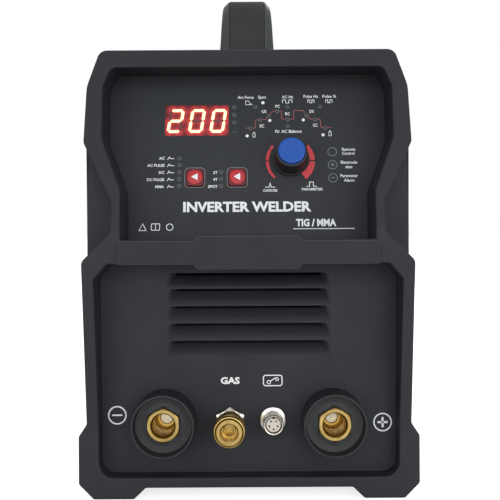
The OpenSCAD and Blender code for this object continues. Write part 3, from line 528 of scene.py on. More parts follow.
class Print:
    """Thin printed ink on a flat face."""

    def __init__(self, place, low=-0.03, high=0.05):
        self.bm, self.place, self.low, self.high = bmesh.new(), place, -low, -high

    def shape(self, loop, mat=0):
        prism(self.bm, loop, self.place, self.low, self.high, mat)

    def disc(self, x, v, r, mat=0):
        self.shape(circle(r, x, v), mat)

    def ring(self, x, v, r, width, mat=0, start=0, end=360, inner=None):
        """A ring or a sector of one; inner(share) may vary the inner radius along a sector."""
        steps = max(12, int((end - start) / 6))
        whole = end - start >= 360
        n = steps if whole else steps + 1
        rows = []
        for k in range(n):
            a = rad(start + (end - start) * k / steps)
            w = inner(k / steps) if inner else width
            rows.append([
                self.bm.verts.new(self.place @ Vector((x + q * math.cos(a), d, v + q * math.sin(a))))
                for q, d in ((r, self.low), (r, self.high), (r - w, self.high), (r - w, self.low))
            ])
        if whole:
            bridge(self.bm, rows + rows[:1], mat)
        else:
            loft(self.bm, rows, mat)

    def line(self, points, width, mat=0):
        """A stroke of constant width through points, with mitred corners."""
        pts = [Vector(p) for p in points]
        sides = []
        for i, p in enumerate(pts):
            before = (p - pts[i - 1]).normalized() if i else (pts[1] - p).normalized()
            after = (pts[i + 1] - p).normalized() if i + 1 < len(pts) else before
            normal = (Vector((-before.y, before.x)) + Vector((-after.y, after.x))).normalized()
            reach = width / 2 / max(0.35, normal.dot(Vector((-before.y, before.x))))
            sides.append((p + normal * reach, p - normal * reach))
        self.shape([tuple(a) for a, b in sides] + [tuple(b) for a, b in sides[::-1]], mat)

    def box(self, w, h, r, x, v, width, mat=0):
        """A rounded frame."""
        outer = rounded_box(w, h, r, x, v)
        hole = rounded_box(w - 2 * width, h - 2 * width, max(0.05, r - width), x, v)
        rows = []
        for a, b in zip(outer, hole):
            corners = ((a, self.low), (a, self.high), (b, self.high), (b, self.low))
            rows.append([self.bm.verts.new(self.place @ Vector((q[0], d, q[1]))) for q, d in corners])
        bridge(self.bm, rows + rows[:1], mat)

    def text(self, words, x, v, cap, width=None, bold=0.0, align="CENTER", mat=0):
        """Words with capitals cap mm high, squeezed to width if given; v is the middle of the capitals."""
        mesh = letters(words, bold / cap, (self.low - self.high) / cap)
        xs = [p.co.x for p in mesh.vertices]
        low, wide = min(xs), max(xs) - min(xs)
        sx = (width / wide) if width else cap
        shift = {"LEFT": 0.0, "CENTER": 0.5, "RIGHT": 1.0}[align]
        stand = Matrix((
            (sx, 0, 0, x - (low + wide * shift) * sx),
            (0, 0, -cap, (self.low + self.high) / 2),
            (0, cap, 0, v - cap / 2),
            (0, 0, 0, 1),
        ))
        mesh.transform(self.place @ stand)
        for poly in mesh.polygons:
            poly.material_index = mat
        self.bm.from_mesh(mesh)
        bpy.data.meshes.remove(mesh)

    def done(self, name, mats, slot, body="machine"):
        bmesh.ops.remove_doubles(self.bm, verts=self.bm.verts, dist=1e-7)
        return piece(name, self.bm, mats, slot, body)


CAP_SHARE = [None]


def letters(words, bold, thick):
    """A closed mesh of the words, with capitals 1 high, standing on y = 0."""
    curve = bpy.data.curves.new("words", "FONT")
    curve.body, curve.resolution_u = words, 2
    if CAP_SHARE[0] is None:
        CAP_SHARE[0] = 1.0
        sample = letters("H", 0.0, 0.1)
        CAP_SHARE[0] = max(p.co.y for p in sample.vertices)
        bpy.data.meshes.remove(sample)
    curve.size = 1 / CAP_SHARE[0]
    curve.offset, curve.extrude = bold, abs(thick) / 2
    obj = new_object("words", curve)
    mesh = final_mesh(obj)
    bpy.data.objects.remove(obj)
    bpy.data.curves.remove(curve)
    return mesh


def print_panel():
    white, grey, pink, red, green = range(5)
    p = Print(PANEL)
    # name of the kind of machine, and the two processes it does
    p.text("INVERTER WELDER", -0.4, 20.9, 6.0, 80.0, 0.32, mat=white)
    p.text("TIG / MMA", 42.4, 10.4, 4.3, 25.0, 0.25, mat=white)
    p.line([(28.2, 6.5), (66.2, 6.5)], 0.5, white)
    # plain marks at the lower left
    p.line([(-67.6, 5.9), (-65.4, 10.2), (-63.2, 5.9), (-67.6, 5.9), (-65.4, 10.2)], 0.5, white)
    p.box(5.6, 4.6, 0.6, -57.4, 8.1, 0.5, white)
    p.line([(-57.4, 5.9), (-57.4, 10.3)], 0.5, white)
    p.ring(-48.6, 8.0, 2.3, 0.5, white)
    # function labels
    for i, word in enumerate(["AC", "AC PULSE", "DC", "DC PULSE", "MMA"]):
        v = 53.1 - 4.72 * i
        p.text(word, -52.6, v, 1.7, None, 0.06, "RIGHT", white)
        p.line([(-50.7, v - 0.9), (-49.6, v + 0.9), (-48.9, v - 0.2), (-46.5, v - 0.2)], 0.45, white)
    for i, word in enumerate(["2T", "4T", "SPOT"]):
        p.text(word, -19.0, 43.4 - 4.6 * i, 1.7, None, 0.06, "RIGHT", white)
    for word, x, v, cap, width in [
        ("Arc Force", -1.0, 94.4, 1.9, 10.4), ("Spot", 9.6, 94.5, 1.9, 5.2), ("AC Hz", 26.0, 94.5, 1.9, 7.2),
        ("Pulse Hz", 41.1, 94.8, 1.9, 9.5), ("Pulse %", 53.0, 94.8, 1.9, 8.8), ("PC", 19.5, 88.0, 1.9, 2.9),
        ("US", 10.8, 84.5, 1.9, 2.9), ("BC", 25.9, 82.9, 1.9, 3.0), ("DS", 41.4, 84.4, 1.9, 2.9),
        ("SC", 9.3, 74.6, 2.0, 3.0), ("CC", 43.5, 74.9, 2.0, 3.0), ("AC Balance", 28.2, 70.9, 2.0, 13.0),
        ("CHOOSE", 14.1, 31.4, 1.6, 9.0), ("PARAMETER", 40.6, 32.1, 1.6, 13.1),
        ("Remote", 64.2, 58.5, 1.9, 8.4),
        ("Control", 64.0, 55.8, 1.9, 7.9), ("Electrode", 64.2, 49.8, 1.9, 10.4),
        ("size", 64.0, 46.8, 1.9, 4.4),
        ("Parameter", 64.0, 40.9, 1.9, 11.1), ("Alarm", 63.9, 37.9, 1.9, 6.5),
    ]:
        p.text(word, x, v, cap, width, 0.05, mat=white)
    # small pictures of the functions
    p.line([(-1.1, 89.2), (-1.1, 91.8), (0.9, 91.8), (1.6, 90.4), (3, 89.4), (-1.1, 89.2)], 0.35, white)
    p.disc(10.1, 90.6, 1.05, white)
    p.line([(18, 70), (18, 71.6), (19, 71.6), (19, 70.2), (20.1, 70.2), (20.1, 71.6)], 0.4, white)
    for x, wide in ((25.8, 3.1), (41.1, 2), (52.7, 2.1)):
        step = wide / 3
        p.line([
            (x - wide, 90.3), (x - wide, 92.4), (x - step, 92.4), (x - step, 90.3), (x + step, 90.3),
            (x + step, 92.4), (x + wide, 92.4), (x + wide, 90.3),
        ], 0.4, white)
    for x, v in ((14.4, 78.3), (35.9, 78.6), (-0.2, 67.9), (48.3, 68.3)):
        p.disc(x, v, 1.0, white)
    for x, v in ((4.2, 68.4), (52.8, 69)):
        p.box(1.9, 3.2, 0.8, x, v, 0.35, white)
        p.line([(x, v + 1.5), (x, v + 2.3)], 0.5, white)
    p.line([(11, 33.6), (13.4, 33.6), (14.1, 36.2), (14.8, 33.6), (17.2, 33.6)], 0.45, white)
    p.line([(37.1, 34), (38.9, 34), (38.9, 36.8), (41.3, 36.8), (41.3, 34), (43.5, 34)], 0.45, white)
    # rings at the right, and the frames round the buttons
    for v in (56.9, 48.2, 39.5):
        p.ring(53.8, v, 2.95, 0.35, grey)
    p.line([(52.4, 48.2), (55.2, 48.2)], 0.4, grey)
    p.line([(53.8, 46.8), (53.8, 49.6)], 0.4, grey)
    p.line([(52.6, 39.5), (55, 39.5)], 0.4, grey)
    for node in ("mode_button", "trigger_button"):
        p.box(13.0, 13.2, 2.6, *across_panel(node), 0.38, grey)
    # current waveform between the lamps
    for run in [
        [(-1.3, 73.2), (0.6, 73.2)], [(2.9, 73.2), (5, 73.2), (5.4, 78.8), (7.2, 78.8)],
        [(9.4, 78.9), (11.8, 79), (12.9, 80.6)], [(14.7, 82.9), (16.6, 84.8), (18, 84.8)],
        [(20.4, 84.8), (21.9, 84.8), (22.1, 79.3), (24.5, 79.2)],
        [(27.1, 79.2), (29.7, 79.2), (29.9, 85.1), (36, 85.1), (37, 83.4)],
        [(38.8, 80.9), (40.2, 79.2), (42.1, 79.1)], [(44.8, 79.1), (46.6, 79.1), (47.2, 73.4), (48.8, 73.4)],
        [(51.1, 73.4), (54, 73.4)],
    ]:
        p.line(run, 0.32, pink)
    # coloured scale round the knob
    x, _ = across_panel("knob_cap")
    for start, end, thin, thick in (
        (137, 148, 1.7, 1.8), (150, 179, 1.9, 2.1), (182, 228, 2.1, 1.4),
        (2, 43, 3.3, 2.5), (-51, -2, 5, 3.3),
    ):
        p.ring(x, KNOB_V, 15.6, 0, red, start, end, lambda t, a=thin, b=thick: a + (b - a) * t)
    # unit marks beside the display
    for v in (87.6, 82.3, 77):
        p.disc(-8.4, v, 0.9, green)
    p.text("Hz", -8.1, 70.8, 1.6, 3.0, 0.05, mat=green)
    p.done("panel_print", [INK_WHITE, INK_GREY, INK_PINK, INK_RED, INK_GREEN], "panel_film")


def print_floor():
    p = Print(FLOOR)
    p.text("GAS", -11.4, 68.7, 3.8, 11.7, 0.22)
    p.box(12.0, 7.0, 1.8, 14.6, 68.6, 0.65)
    p.ring(12.2, 67.6, 1.3, 0.5)
    p.line([(13.2, 68.3), (16.6, 70.4)], 0.6)
    p.ring(17.2, 69.4, 1.1, 0.5)
    for x, z, plus in ((-80.5, 47.9, False), (81.6, 42.8, True)):
        bar = 1.3 if plus else 0.9
        p.ring(x, z, 5.7, 0.85)
        p.line([(x - 3.1, z), (x + 3.1, z)], bar)
        if plus:
            p.line([(x, z - 3.1), (x, z + 3.1)], bar)
    p.done("connector_print", INK_WHITE, "frame_plastic")


print_panel()
print_floor()


# ---------------------------------------------------------------- display

SEGMENTS = {"0": "abcdef", "2": "abged"}


def segment_loops(x, v):
    """The seven bars of one slanted figure."""
    w, h, t, g, slant = 3.75, 7.15, 1.85, 0.16, math.tan(rad(8.5))

    def lean(points):
        return [(x + a + b * slant, v + b) for a, b in points]

    def upright(a, low, high):
        e = t / 2
        side = [(low + e + g, e), (high - e - g, e)]
        right = [(a + q, b) for b, q in side]
        left = [(a - q, b) for b, q in side[::-1]]
        return lean([(a, low + g), *right, (a, high - g), *left])

    def flat(z):
        e = t / 2
        inner, outer = w - e - g, w - g
        above, below = z + e, z - e
        return lean([(-outer, z), (-inner, above), (inner, above), (outer, z), (inner, below), (-inner, below)])

    return {
        "a": flat(h), "g": flat(0), "d": flat(-h), "b": upright(w, 0, h), "c": upright(w, -h, 0),
        "e": upright(-w, -h, 0), "f": upright(-w, 0, h),
    }


def display():
    x, v = across_panel("display_window")
    lit, dim = Print(PANEL, -0.12, 0.02), Print(PANEL, -0.12, 0.01)
    centres = []
    for i, figure in enumerate("200"):
        for key, loop in segment_loops(x + 13.65 * (i - 1), v - 0.3).items():
            if key in SEGMENTS[figure]:
                lit.shape(loop)
                corners = [Vector(q) for q in loop]
                centres += [*corners, sum(corners, Vector((0, 0))) / len(corners)]
            else:
                dim.shape(loop)
    lit.done("display_figures", SEGMENT, "display_lens")
    dim.done("display_unlit", SEGMENT_OFF, "display_lens")
    # the tinted window, with the light of the figures spread in it
    bm = bmesh.new()
    nx, nz, w, h = 82, 42, 40.9, 20.9
    left, foot = x - w / 2, v - h / 2
    rim = sheet(bm, [
        [bm.verts.new(on_panel(left + w * i / nx, foot + h * j / nz, -0.1)) for i in range(nx + 1)]
        for j in range(nz + 1)
    ])
    inward = PANEL.to_3x3() @ Vector((0, 1.2, 0))
    under = [bm.verts.new(vert.co + inward) for vert in rim]
    bridge(bm, [rim, under])
    bm.faces.new(under)
    inverse = PANEL.inverted()
    window = piece("display_lens", bm, lens_material(), "display_lens", stands_for=("display_window",))
    spread = window.data.attributes.new("glow", "FLOAT", "POINT")
    for vert in window.data.vertices:
        p = inverse @ vert.co
        q = Vector((p.x, p.z))
        near = min((q - c).length for c in centres)
        spread.data[vert.index].value = math.exp(-((near / 2.6) ** 2))


def lens_material():
    made = Shader("tinted_window", (78, 28, 32), 0.3, specular=0.35).mottle(120, 0.08)
    glow = made.add("ShaderNodeAttribute", attribute_name="glow")
    made.colour = made.mix(glow.outputs["Fac"], made.colour, linear((190, 60, 64)))
    strength = made.spread(glow.outputs["Fac"], 0.0, 1.0, 0.01, 0.15)
    made.bsdf.inputs["Emission Color"].default_value = (*linear((230, 60, 58)), 1.0)
    made.link(strength, made.bsdf.inputs["Emission Strength"])
    return made.grain(2400, 0.00001, 0.3).done()


display()


# ---------------------------------------------------------------- controls

def knob():
    x, _ = across_panel("knob_cap")
    foot = on_panel(x, KNOB_V)
    flutes = 24

    def fluted(a, r, h):
        if 3.6 < h < 16.8 and r > 9:
            return r - 0.42 * (0.5 + 0.5 * math.cos(a * flutes)) ** 1.6
        return r

    turned("knob_shell", [
        (0, 17.1), (3.05, 17.1), (3.05, 7), (7.6, 7), (7.6, 1.2), (10.5, 1.2), (10.68, 1.4), (10.68, 2.7),
        (10.4, 3.05), (10.05, 3.2), (9.95, 3.61), (9.95, 4.2), (9.9, 11), (9.85, 16), (9.85, 16.79),
        (9.82, 17),
        (9.6, 17.5), (9.2, 17.72), (8.7, 17.72), (8.5, 17.55), (8.45, 17.2), (0, 17.2),
    ], foot, KNOB, "knob_black", "knob", "knob_body", 40, OUTWARD, 192, fluted)
    turned("knob_disc", [
        (0, 17.25), (8.38, 17.25), (8.38, 19.35), (8.3, 19.6), (8.1, 19.82), (7.8, 19.95), (7.4, 20),
        (6.6, 19.97), (5, 19.88), (3, 19.82), (0, 19.8),
    ], foot, KNOB_BLUE, "knob_blue", "knob", "knob_cap", 40, OUTWARD)


def push_button(node, body):
    """A square key with a round raised face and an arrow on it."""
    x, v = across_panel(node)
    foot = on_panel(x, v)
    bm = bmesh.new()
    rows = []
    for inset, high in ((0, -3.1), (0, 0.45), (0.12, 0.72), (0.4, 0.88), (0.75, 0.9)):
        loop = rounded_box(11.2 - 2 * inset, 11.2 - 2 * inset, 2.0 - inset * 0.6, x, v)
        rows.append([bm.verts.new(on_panel(a, b, high)) for a, b in loop])
    loft(bm, rows)
    dome = [(0, 0.7), (4.85, 0.7), (4.85, 1.25), (4.72, 1.45), (4.4, 1.56)]
    dome += [(r, 1.6 + 0.36 * (1 - (r / 4.3) ** 2)) for r in (4.0, 3.2, 2.4, 1.6, 0.8, 0)]
    lathe(bm, dome, foot, OUTWARD, 64, mat=1)
    lathe(bm, [(0, -7.9), (1.8, -7.9), (1.8, -3.05), (0, -3.05)], foot, OUTWARD, 32)
    arrow = [(x + 1.9, v - 2.35), (x + 1.9, v + 2.35), (x - 2.3, v)]
    prism(bm, rounded(arrow, 0.25), PANEL, -1.5, -2.0, 2)
    piece(node + "_key", bm, [BUTTON_RIM, BUTTON_RED, INK_WHITE], "button_red", body, (node,), 40)


def lamps():
    """Small light windows in the panel, each a low dome in a ring."""
    inverse = PANEL.inverted()
    corners = [inverse @ vert.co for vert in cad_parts["indicator_leds"].data.vertices]
    front = [p for p in corners if p.y < 0.2]
    spots = set()
    for p in front:
        if all((x - p.x) ** 2 + (v - p.z) ** 2 >= 9 for x, v in spots):
            near = [q for q in front if (q - p).length < 3]
            xs, vs = [q.x for q in near], [q.z for q in near]
            spots.add(((min(xs) + max(xs)) / 2, (min(vs) + max(vs)) / 2))
    bm = bmesh.new()
    for x, v in sorted(spots):
        for profile, steps, mat in (
            ([(0.9, -5), (1.28, -5), (1.28, 0.02), (1.18, 0.14), (1, 0.16), (0.9, 0.08)], 32, 0),
            ([(0, -5), (0.88, -5), (0.88, 0.04), (0.6, 0.12), (0, 0.15)], 32, 1),
            ([(0, -13.9), (1.7, -13.9), (1.7, -5.01), (0, -5.01)], 24, 0),
        ):
            lathe(bm, profile, on_panel(x, v), OUTWARD, steps, mat=mat)
    piece("panel_lamps", bm, [INK_LED, INK_LED_CORE], "led_clear", stands_for=("indicator_leds",))


knob()
push_button("mode_button", "mode_key")
push_button("trigger_button", "trigger_key")
lamps()


# ---------------------------------------------------------------- fasteners

def islands(node):
    """The boxes of a node's separate solids, in mm, as (low, high)."""
    bm = solid_of(node)
    seen, boxes = set(), []
    for start in bm.verts:
        if start in seen:
            continue
        seen.add(start)
        todo, points = [start], []
        while todo:
            vert = todo.pop()
            points.append(vert.co / MM)
            for edge in vert.link_edges:
                other = edge.other_vert(vert)
                if other not in seen:
                    seen.add(other)
                    todo.append(other)
        boxes.append(tuple(Vector([f(p[i] for p in points) for i in range(3)]) for f in (min, max)))
    bm.free()
    return boxes


HEX = 0.01


def six_sided(flats, turn=0.0, limit=99.0):
    """A lathe shape that turns radius HEX (plus up to 0.2) into a hexagon; limit rounds off its corners."""
    def shape(a, r, h):
        if r > 0.25:
            return r
        seg = (a + rad(30 + turn)) % rad(60) - rad(30)
        return min(flats / 2 / math.cos(seg) + r, limit)
    return shape


def outward(name, bm):
    """A mesh whose faces all point outwards."""
    bmesh.ops.recalc_face_normals(bm, faces=bm.faces)
    return mesh_of(name, bm)


def cross_head(r, high, shank_r, shank_l, cone=0.0):
    """A screw with a cross recess, its head up +Z from the origin. cone widens the foot of the head."""
    bm = bmesh.new()
    crown = ((1, 0.42), (0.97, 0.6), (0.9, 0.8), (0.74, 0.92), (0.5, 0.98), (0.25, 1))
    dome = [(r * across, high * up) for across, up in crown]
    lathe(bm, [(0, -shank_l), (shank_r, -shank_l), (shank_r, 0.0), (r + cone, 0.0), *dome, (0, high)],
        (0, 0, 0), (0, 0, 1), 48)
    head = new_object("head", outward("head", bm))
    bm = bmesh.new()
    arm, thin, deep = r * 0.6, r * 0.13, high * 0.7
    quarter = [(arm, -thin), (arm, thin), (thin, thin)]
    half = quarter + [(-z, x) for x, z in quarter]
    plus = half + [(-x, -z) for x, z in half]
    low = [bm.verts.new(Vector((x * 0.55, y * 0.55, high - deep)) * MM) for x, y in plus]
    top = [bm.verts.new(Vector((x, y, high + 0.5)) * MM) for x, y in plus]
    loft(bm, [low, top])
    recess = new_object("recess", outward("recess", bm))
    cut = head.modifiers.new("cut", "BOOLEAN")
    cut.object, cut.operation, cut.solver = recess, "DIFFERENCE", "EXACT"
    made = baked(head).data
    for obj in (head, recess):
        bpy.data.objects.remove(obj)
    return made


def screws(name, node, mat, slot, head, direction, seat):
    """Copies of one screw, one for each solid of the node. seat(box) gives the foot of a head, in mm."""
    bm = bmesh.new()
    for count, box in enumerate(sorted(islands(node), key=lambda b: tuple(b[0]))):
        place = Matrix.Translation(Vector(seat(box)) * MM)
        towards = Vector(direction(box)).to_track_quat("Z", "Y").to_matrix().to_4x4()
        copy = head.copy()
        copy.transform(place @ towards @ rotated(37 * count + 11, "Z"))
        bm.from_mesh(copy)
        bpy.data.meshes.remove(copy)
    return piece(name, bm, mat, slot, stands_for=(node,), smooth=35)


# ---------------------------------------------------------------- moulded frames

def both_sides(half):
    return half + [(-p[0], *p[1:]) for p in half[::-1]]


def anticlockwise(loop):
    area = sum(a[0] * b[1] - b[0] * a[1] for a, b in zip(loop, loop[1:] + loop[:1]))
    return loop if area > 0 else loop[::-1]


def pushed(loop, amount):
    """A loop moved to its left: inwards when it is anticlockwise. amount may be a function of z."""
    out = []
    for i, point in enumerate(loop):
        a, p, b = Vector(loop[i - 1]), Vector(point), Vector(loop[(i + 1) % len(loop)])
        u, v = (p - a).normalized(), (b - p).normalized()
        left = Vector((-u.y, u.x))
        mid = (left + Vector((-v.y, v.x))).normalized()
        d = amount(p.y) if callable(amount) else amount
        out.append(tuple(p + mid * (d / max(0.5, mid.dot(left)))))
    return out


def inside(loop, x, z):
    hit = False
    for (x0, z0), (x1, z1) in zip(loop, loop[1:] + loop[:1]):
        if (z0 > z) != (z1 > z) and x < x0 + (z - z0) / (z1 - z0) * (x1 - x0):
            hit = not hit
    return hit


def level(depth):
    return depth if callable(depth) else (lambda z: depth)


class Shell:
    """A moulding built from loops in X and Z at depths along Y, joined by strips and filled sheets."""

    def __init__(self):
        self.bm = bmesh.new()

    def loop(self, points, depth):
        depth = level(depth)
        return [self.bm.verts.new(Vector((x, depth(z), z)) * MM) for x, z in points]

    def strip(self, *rings):
        bridge(self.bm, rings)

    def rim(self, points, radius, depth, sign=1, steps=3, back=1):
        """Rings that round the edge between a face and a wall. The face is on the left of the loop when
        sign is 1. The first ring bounds the face, the last one starts the wall."""
        depth, radius = level(depth), level(radius)
        rings = []
        for k in range(steps + 1):
            a = rad(90 * k / steps)
            moved = pushed(points, lambda z: sign * radius(z) * (1 - math.sin(a)))
            rings.append([
                self.bm.verts.new(Vector((x, depth(z) + back * radius(q[1]) * (1 - math.cos(a)), z)) * MM)
                for (x, z), q in zip(moved, points)
            ])
        self.strip(*rings)
        return rings[0], rings[-1]

    def fill(self, outer, holes=(), depth=None, rows=()):
        """A sheet between an outer ring and holes, with extra points along rows of z."""
        spacing = 4.0
        verts, edges, flat = [], [], []
        for ring in (outer, *holes):
            start = len(verts)
            verts += ring
            edges += [(start + k, start + (k + 1) % len(ring)) for k in range(len(ring))]
            flat.append([(v.co.x / MM, v.co.z / MM) for v in ring])
        points = [Vector((v.co.x / MM, v.co.z / MM)) for v in verts]

        def within(x, z):
            return inside(flat[0], x, z) and not any(inside(hole, x, z) for hole in flat[1:])

        for z in rows:
            x = -100.0
            while x <= 100.0:
                spot, least = Vector((x, z)), spacing * 0.3
                if within(x, z) and all((p - spot).length > least for p in points[:len(verts)]):
                    points.append(Vector((x, z)))
                x += spacing
        extra = [self.bm.verts.new(Vector((p.x, level(depth)(p.y), p.y)) * MM) for p in points[len(verts):]]
        verts += extra
        coords, _, faces, origins, _, _ = delaunay_2d_cdt(points, edges, [], 0, 1e-6)
        for face in faces:
            centre = sum((coords[i] for i in face), Vector((0, 0))) / 3
            if within(centre.x, centre.y):
                corners = [verts[origins[i][0]] for i in face]
                self.bm.faces.new(corners)

    def done(self, name, mat, slot, stands_for, body="machine"):
        bmesh.ops.remove_doubles(self.bm, verts=self.bm.verts, dist=2e-6)
        bmesh.ops.dissolve_degenerate(self.bm, edges=self.bm.edges, dist=1e-6)
        obj = piece(name, self.bm, mat, slot, body, stands_for, 38)
        obj.modifiers.new("normals", "WEIGHTED_NORMAL").keep_sharp = True
        return baked(obj)


def bent_line(points, blend):
    """A function through (z, depth) points whose corners are eased over blend mm."""
    def depth(z):
        value, last = None, len(points) - 2
        for i, ((z0, d0), (z1, d1)) in enumerate(zip(points, points[1:])):
            if value is None and (z <= z1 or i == last):
                value = d0 + (d1 - d0) * (z - z0) / (z1 - z0)
        for (z0, d0), (z1, d1), (z2, d2) in zip(points, points[1:], points[2:]):
            near = blend - abs(z - z1)
            if near > 0:
                value += ((d2 - d1) / (z2 - z1) - (d1 - d0) / (z1 - z0)) / (4 * blend) * near * near
        return value
    return depth


FOOT = [(102, 37.5, 3), (102, 9, 3), (93, 0, 2), (69, 0, 2), (62, 6.7, 2)]
SHOULDER = [(91.5, 273, 6), (98.5, 249, 20)]
FOLDS = (
    38.4, 40, 41.6, 108.4, 110, 111.6, 139.4, 141, 142.6, 158.4, 160, 161.6, 165, 166.6, 214, 215, 216, 241.5,
)


def outline(half):
    """A symmetrical closed outline, with points wherever it crosses a fold of a face."""
    loop, out = anticlockwise(rounded(both_sides(half), step=10)), []
    for (x0, z0), (x1, z1) in zip(loop, loop[1:] + loop[:1]):
        out.append((x0, z0))
        low, high = sorted((z0, z1))
        cuts = [(z - z0) / (z1 - z0) for z in FOLDS if high - low > 0.1 and low + 0.05 < z < high - 0.05]
        out += [(x0 + (x1 - x0) * t, z0 + (z1 - z0) * t) for t in sorted(cuts)]
    return out


SKIRT = outline(SHOULDER + [(98.5, 42, 3)] + FOOT)
CAVITY = outline([(89.1, 270, 5), (95.5, 249, 16), (95.5, 15, 4), (87.5, 10, 4)])
EASE = 1.6


def eased(*folds):
    """Heights on and beside the folds of a face, where its sheet needs points."""
    return [z + share * EASE for z in folds for share in (-1, -0.5, 0, 0.5, 1)]


def front_frame():
    waist = [(98.5, 213.5, 6), (80, 177.5, 6), (80, 159.5, 5), (97, 142.5, 5), (97, 45, 3)]
    nose = outline(SHOULDER + waist + FOOT)
    window = outline([(84, 261.5, 5), (88.5, 249, 8), (87.5, 216, 8), (75, 184, 5), (74, 155, 0.6)])
    tube = outline([(86, 264, 5), (91, 249, 8), (90, 216, 8), (77.5, 184, 5), (76.5, 152.5, 0.6)])
    pocket = outline([(82, 141, 2), (90, 132, 3), (89.5, 13, 9)])
    slopes = [(-1, 18), (40, 18), (141, 3), (160, 3), (274, 38.3)]
    face = bent_line([(z, NOSE + depth) for z, depth in slopes], EASE)
    behind = bent_line([(-1, NOSE + 33), (215, NOSE + 33), (274, NOSE + 42.3)], 1.0)
    panel = lambda z: NOSE + 36 + (z - 155) * math.tan(rad(TILT)) - 0.03
    join = lambda z: max(POCKET, face(z) + 3)
    s = Shell()
    # front face with the window and the pocket in it
    nose_edge, nose_wall = s.rim(nose, 1.3, face)
    window_edge, window_wall = s.rim(window[::-1], 1.0, face)
    pocket_edge, pocket_wall = s.rim(pocket[::-1], 0.9, face)
    s.fill(nose_edge, [window_edge[::-1], pocket_edge[::-1]], face, eased(40, 141, 160))
    # outer wall, and the way round to the back
    tuck = pushed(nose, 0.3)
    s.strip(nose_wall, s.loop(nose, lambda z: join(z) - 0.1), s.loop(tuck, join),
        (back_edge := s.loop(tuck, behind)))
    tube_inner = s.loop(window[::-1], panel)
    tube_outer, tube_root = s.loop(tube[::-1], panel), s.loop(tube[::-1], behind)
    s.strip(window_wall, tube_inner)
    s.fill(tube_outer[::-1], [tube_inner[::-1]])
    s.strip(tube_outer, tube_root)
    # pocket floor with its louvres and holes
    low, low_edge = s.rim(pocket, 0.8, POCKET, 1, 3, -1)
    s.strip(pocket_wall, low_edge[::-1])
    holes, through = [], []
    for x, z, r in (
        (-SOCKET_X, SOCKET_Z, 16.2), (SOCKET_X, SOCKET_Z, 16.2),
        (GAS_X, GAS_Z, 6.7), (REMOTE_X, REMOTE_Z, 6.1),
    ):
        points = circle(r, x, z, 64)
        a, b = s.loop(points, POCKET), s.loop(points, POCKET + 3)
        s.strip(a, b)
        holes.append(a)
        through.append(b)
    slots = []
    first, pitch, lip = 125.3, 10.6, 1.1
    spans = [(first + lip / 2, 134.5)]
    spans += [(first - (i + 1) * pitch + lip / 2, first - i * pitch - lip / 2) for i in range(4)]
    for bottom, top in spans:
        corners = [(-50.3, bottom, 0.4), (50.3, bottom, 0.4), (48.8, top, 3.4), (-48.8, top, 3.4)]
        mouth = rounded(corners, count=6)
        throat = rounded([(-44.6, top - 1.5, 0.3), (44.6, top - 1.5, 0.3), (44.6, top - 0.2, 0.6),
            (-44.6, top - 0.2, 0.6)], count=6)
        edge, wall = s.rim(mouth, lambda z: 0.3 if z > top - 3.6 else 0.02, POCKET, -1, 2)
        for t in (0.2, 0.4, 0.6, 0.8, 1):
            scoop = [(x0 + (x1 - x0) * t, z0 + (z1 - z0) * t) for (x0, z0), (x1, z1) in zip(mouth, throat)]
            deeper = s.loop(scoop, POCKET + 6.5 * t ** 1.6)
            s.strip(wall, deeper)
            wall = deeper
        end = s.loop(throat, POCKET + 11)
        s.strip(wall, end)
        holes.append(edge)
        slots.append(end)
    s.fill(low, holes)
    block = anticlockwise(rounded_box(105.4, 60.0, 1.0, 0, 107.3))
    block_root, block_top = s.loop(block, POCKET + 3), s.loop(block, POCKET + 11)
    s.strip(block_root, block_top)
    s.fill(block_top, slots)
    s.fill(back_edge, [tube_root[::-1], block_root, *through], behind, (214, 215, 216))
    # skirt behind it
    edge, wall = s.rim(SKIRT, lambda z: 1.2 if 50 < z < 210 else 0.0, lambda z: join(z) - 0.06)
    s.strip(wall, s.loop(SKIRT, NOSE + 71.4), s.loop(pushed(SKIRT, 0.6), NOSE + 72))
    tail = s.loop(pushed(SKIRT, 0.6), NOSE + 72)
    inner_back, inner_front = s.loop(CAVITY, NOSE + 72), s.loop(CAVITY, lambda z: join(z) + 0.5)
    s.fill(tail, [inner_back])
    s.strip(inner_back, inner_front)
    front_inner = s.loop(CAVITY, lambda z: join(z) - 0.06)
    s.strip(inner_front, front_inner)
    s.fill(edge, [front_inner])
    # ledges beside the narrow middle of the nose
    for side in (-1, 1):
        corners = ((95.6, 142), (95.6, 210.5), (79.2, 178), (79.2, 159))
        ledge = anticlockwise([(side * x, z) for x, z in corners])
        face_ring, root = s.loop(ledge, NOSE + 29.92), s.loop(ledge, NOSE + 33)
        s.fill(face_ring)
        s.strip(face_ring, root)
        s.fill(root)
    return s.done("front_frame", FRAME, "frame_plastic", ("front_bezel",))


def nose_bar():
    bar = anticlockwise(rounded(both_sides([
        (29, 157, 0.8), (31.6, 154.3, 0.8), (75.5, 154.3, 0.9), (75.5, 140.8, 0.9), (31.6, 140.8, 0.8),
        (29, 137.9, 0.8),
    ])))
    s = Shell()
    edge, wall = s.rim(bar, 0.5, NOSE)
    s.fill(edge)
    foot = s.loop(bar, NOSE + 2.98)
    s.strip(wall, foot)
    s.fill(foot)
    # the slanted rim faces take the second, lighter material: a painted highlight along the bar's edges
    for face in s.bm.faces:
        face.normal_update()
        face.material_index = int(0.2 < abs(face.normal.y) < 0.96)
    s.done("nose_bar", [BAR, BAR_HIGHLIGHT], "bar_plastic", ("centre_bar",))


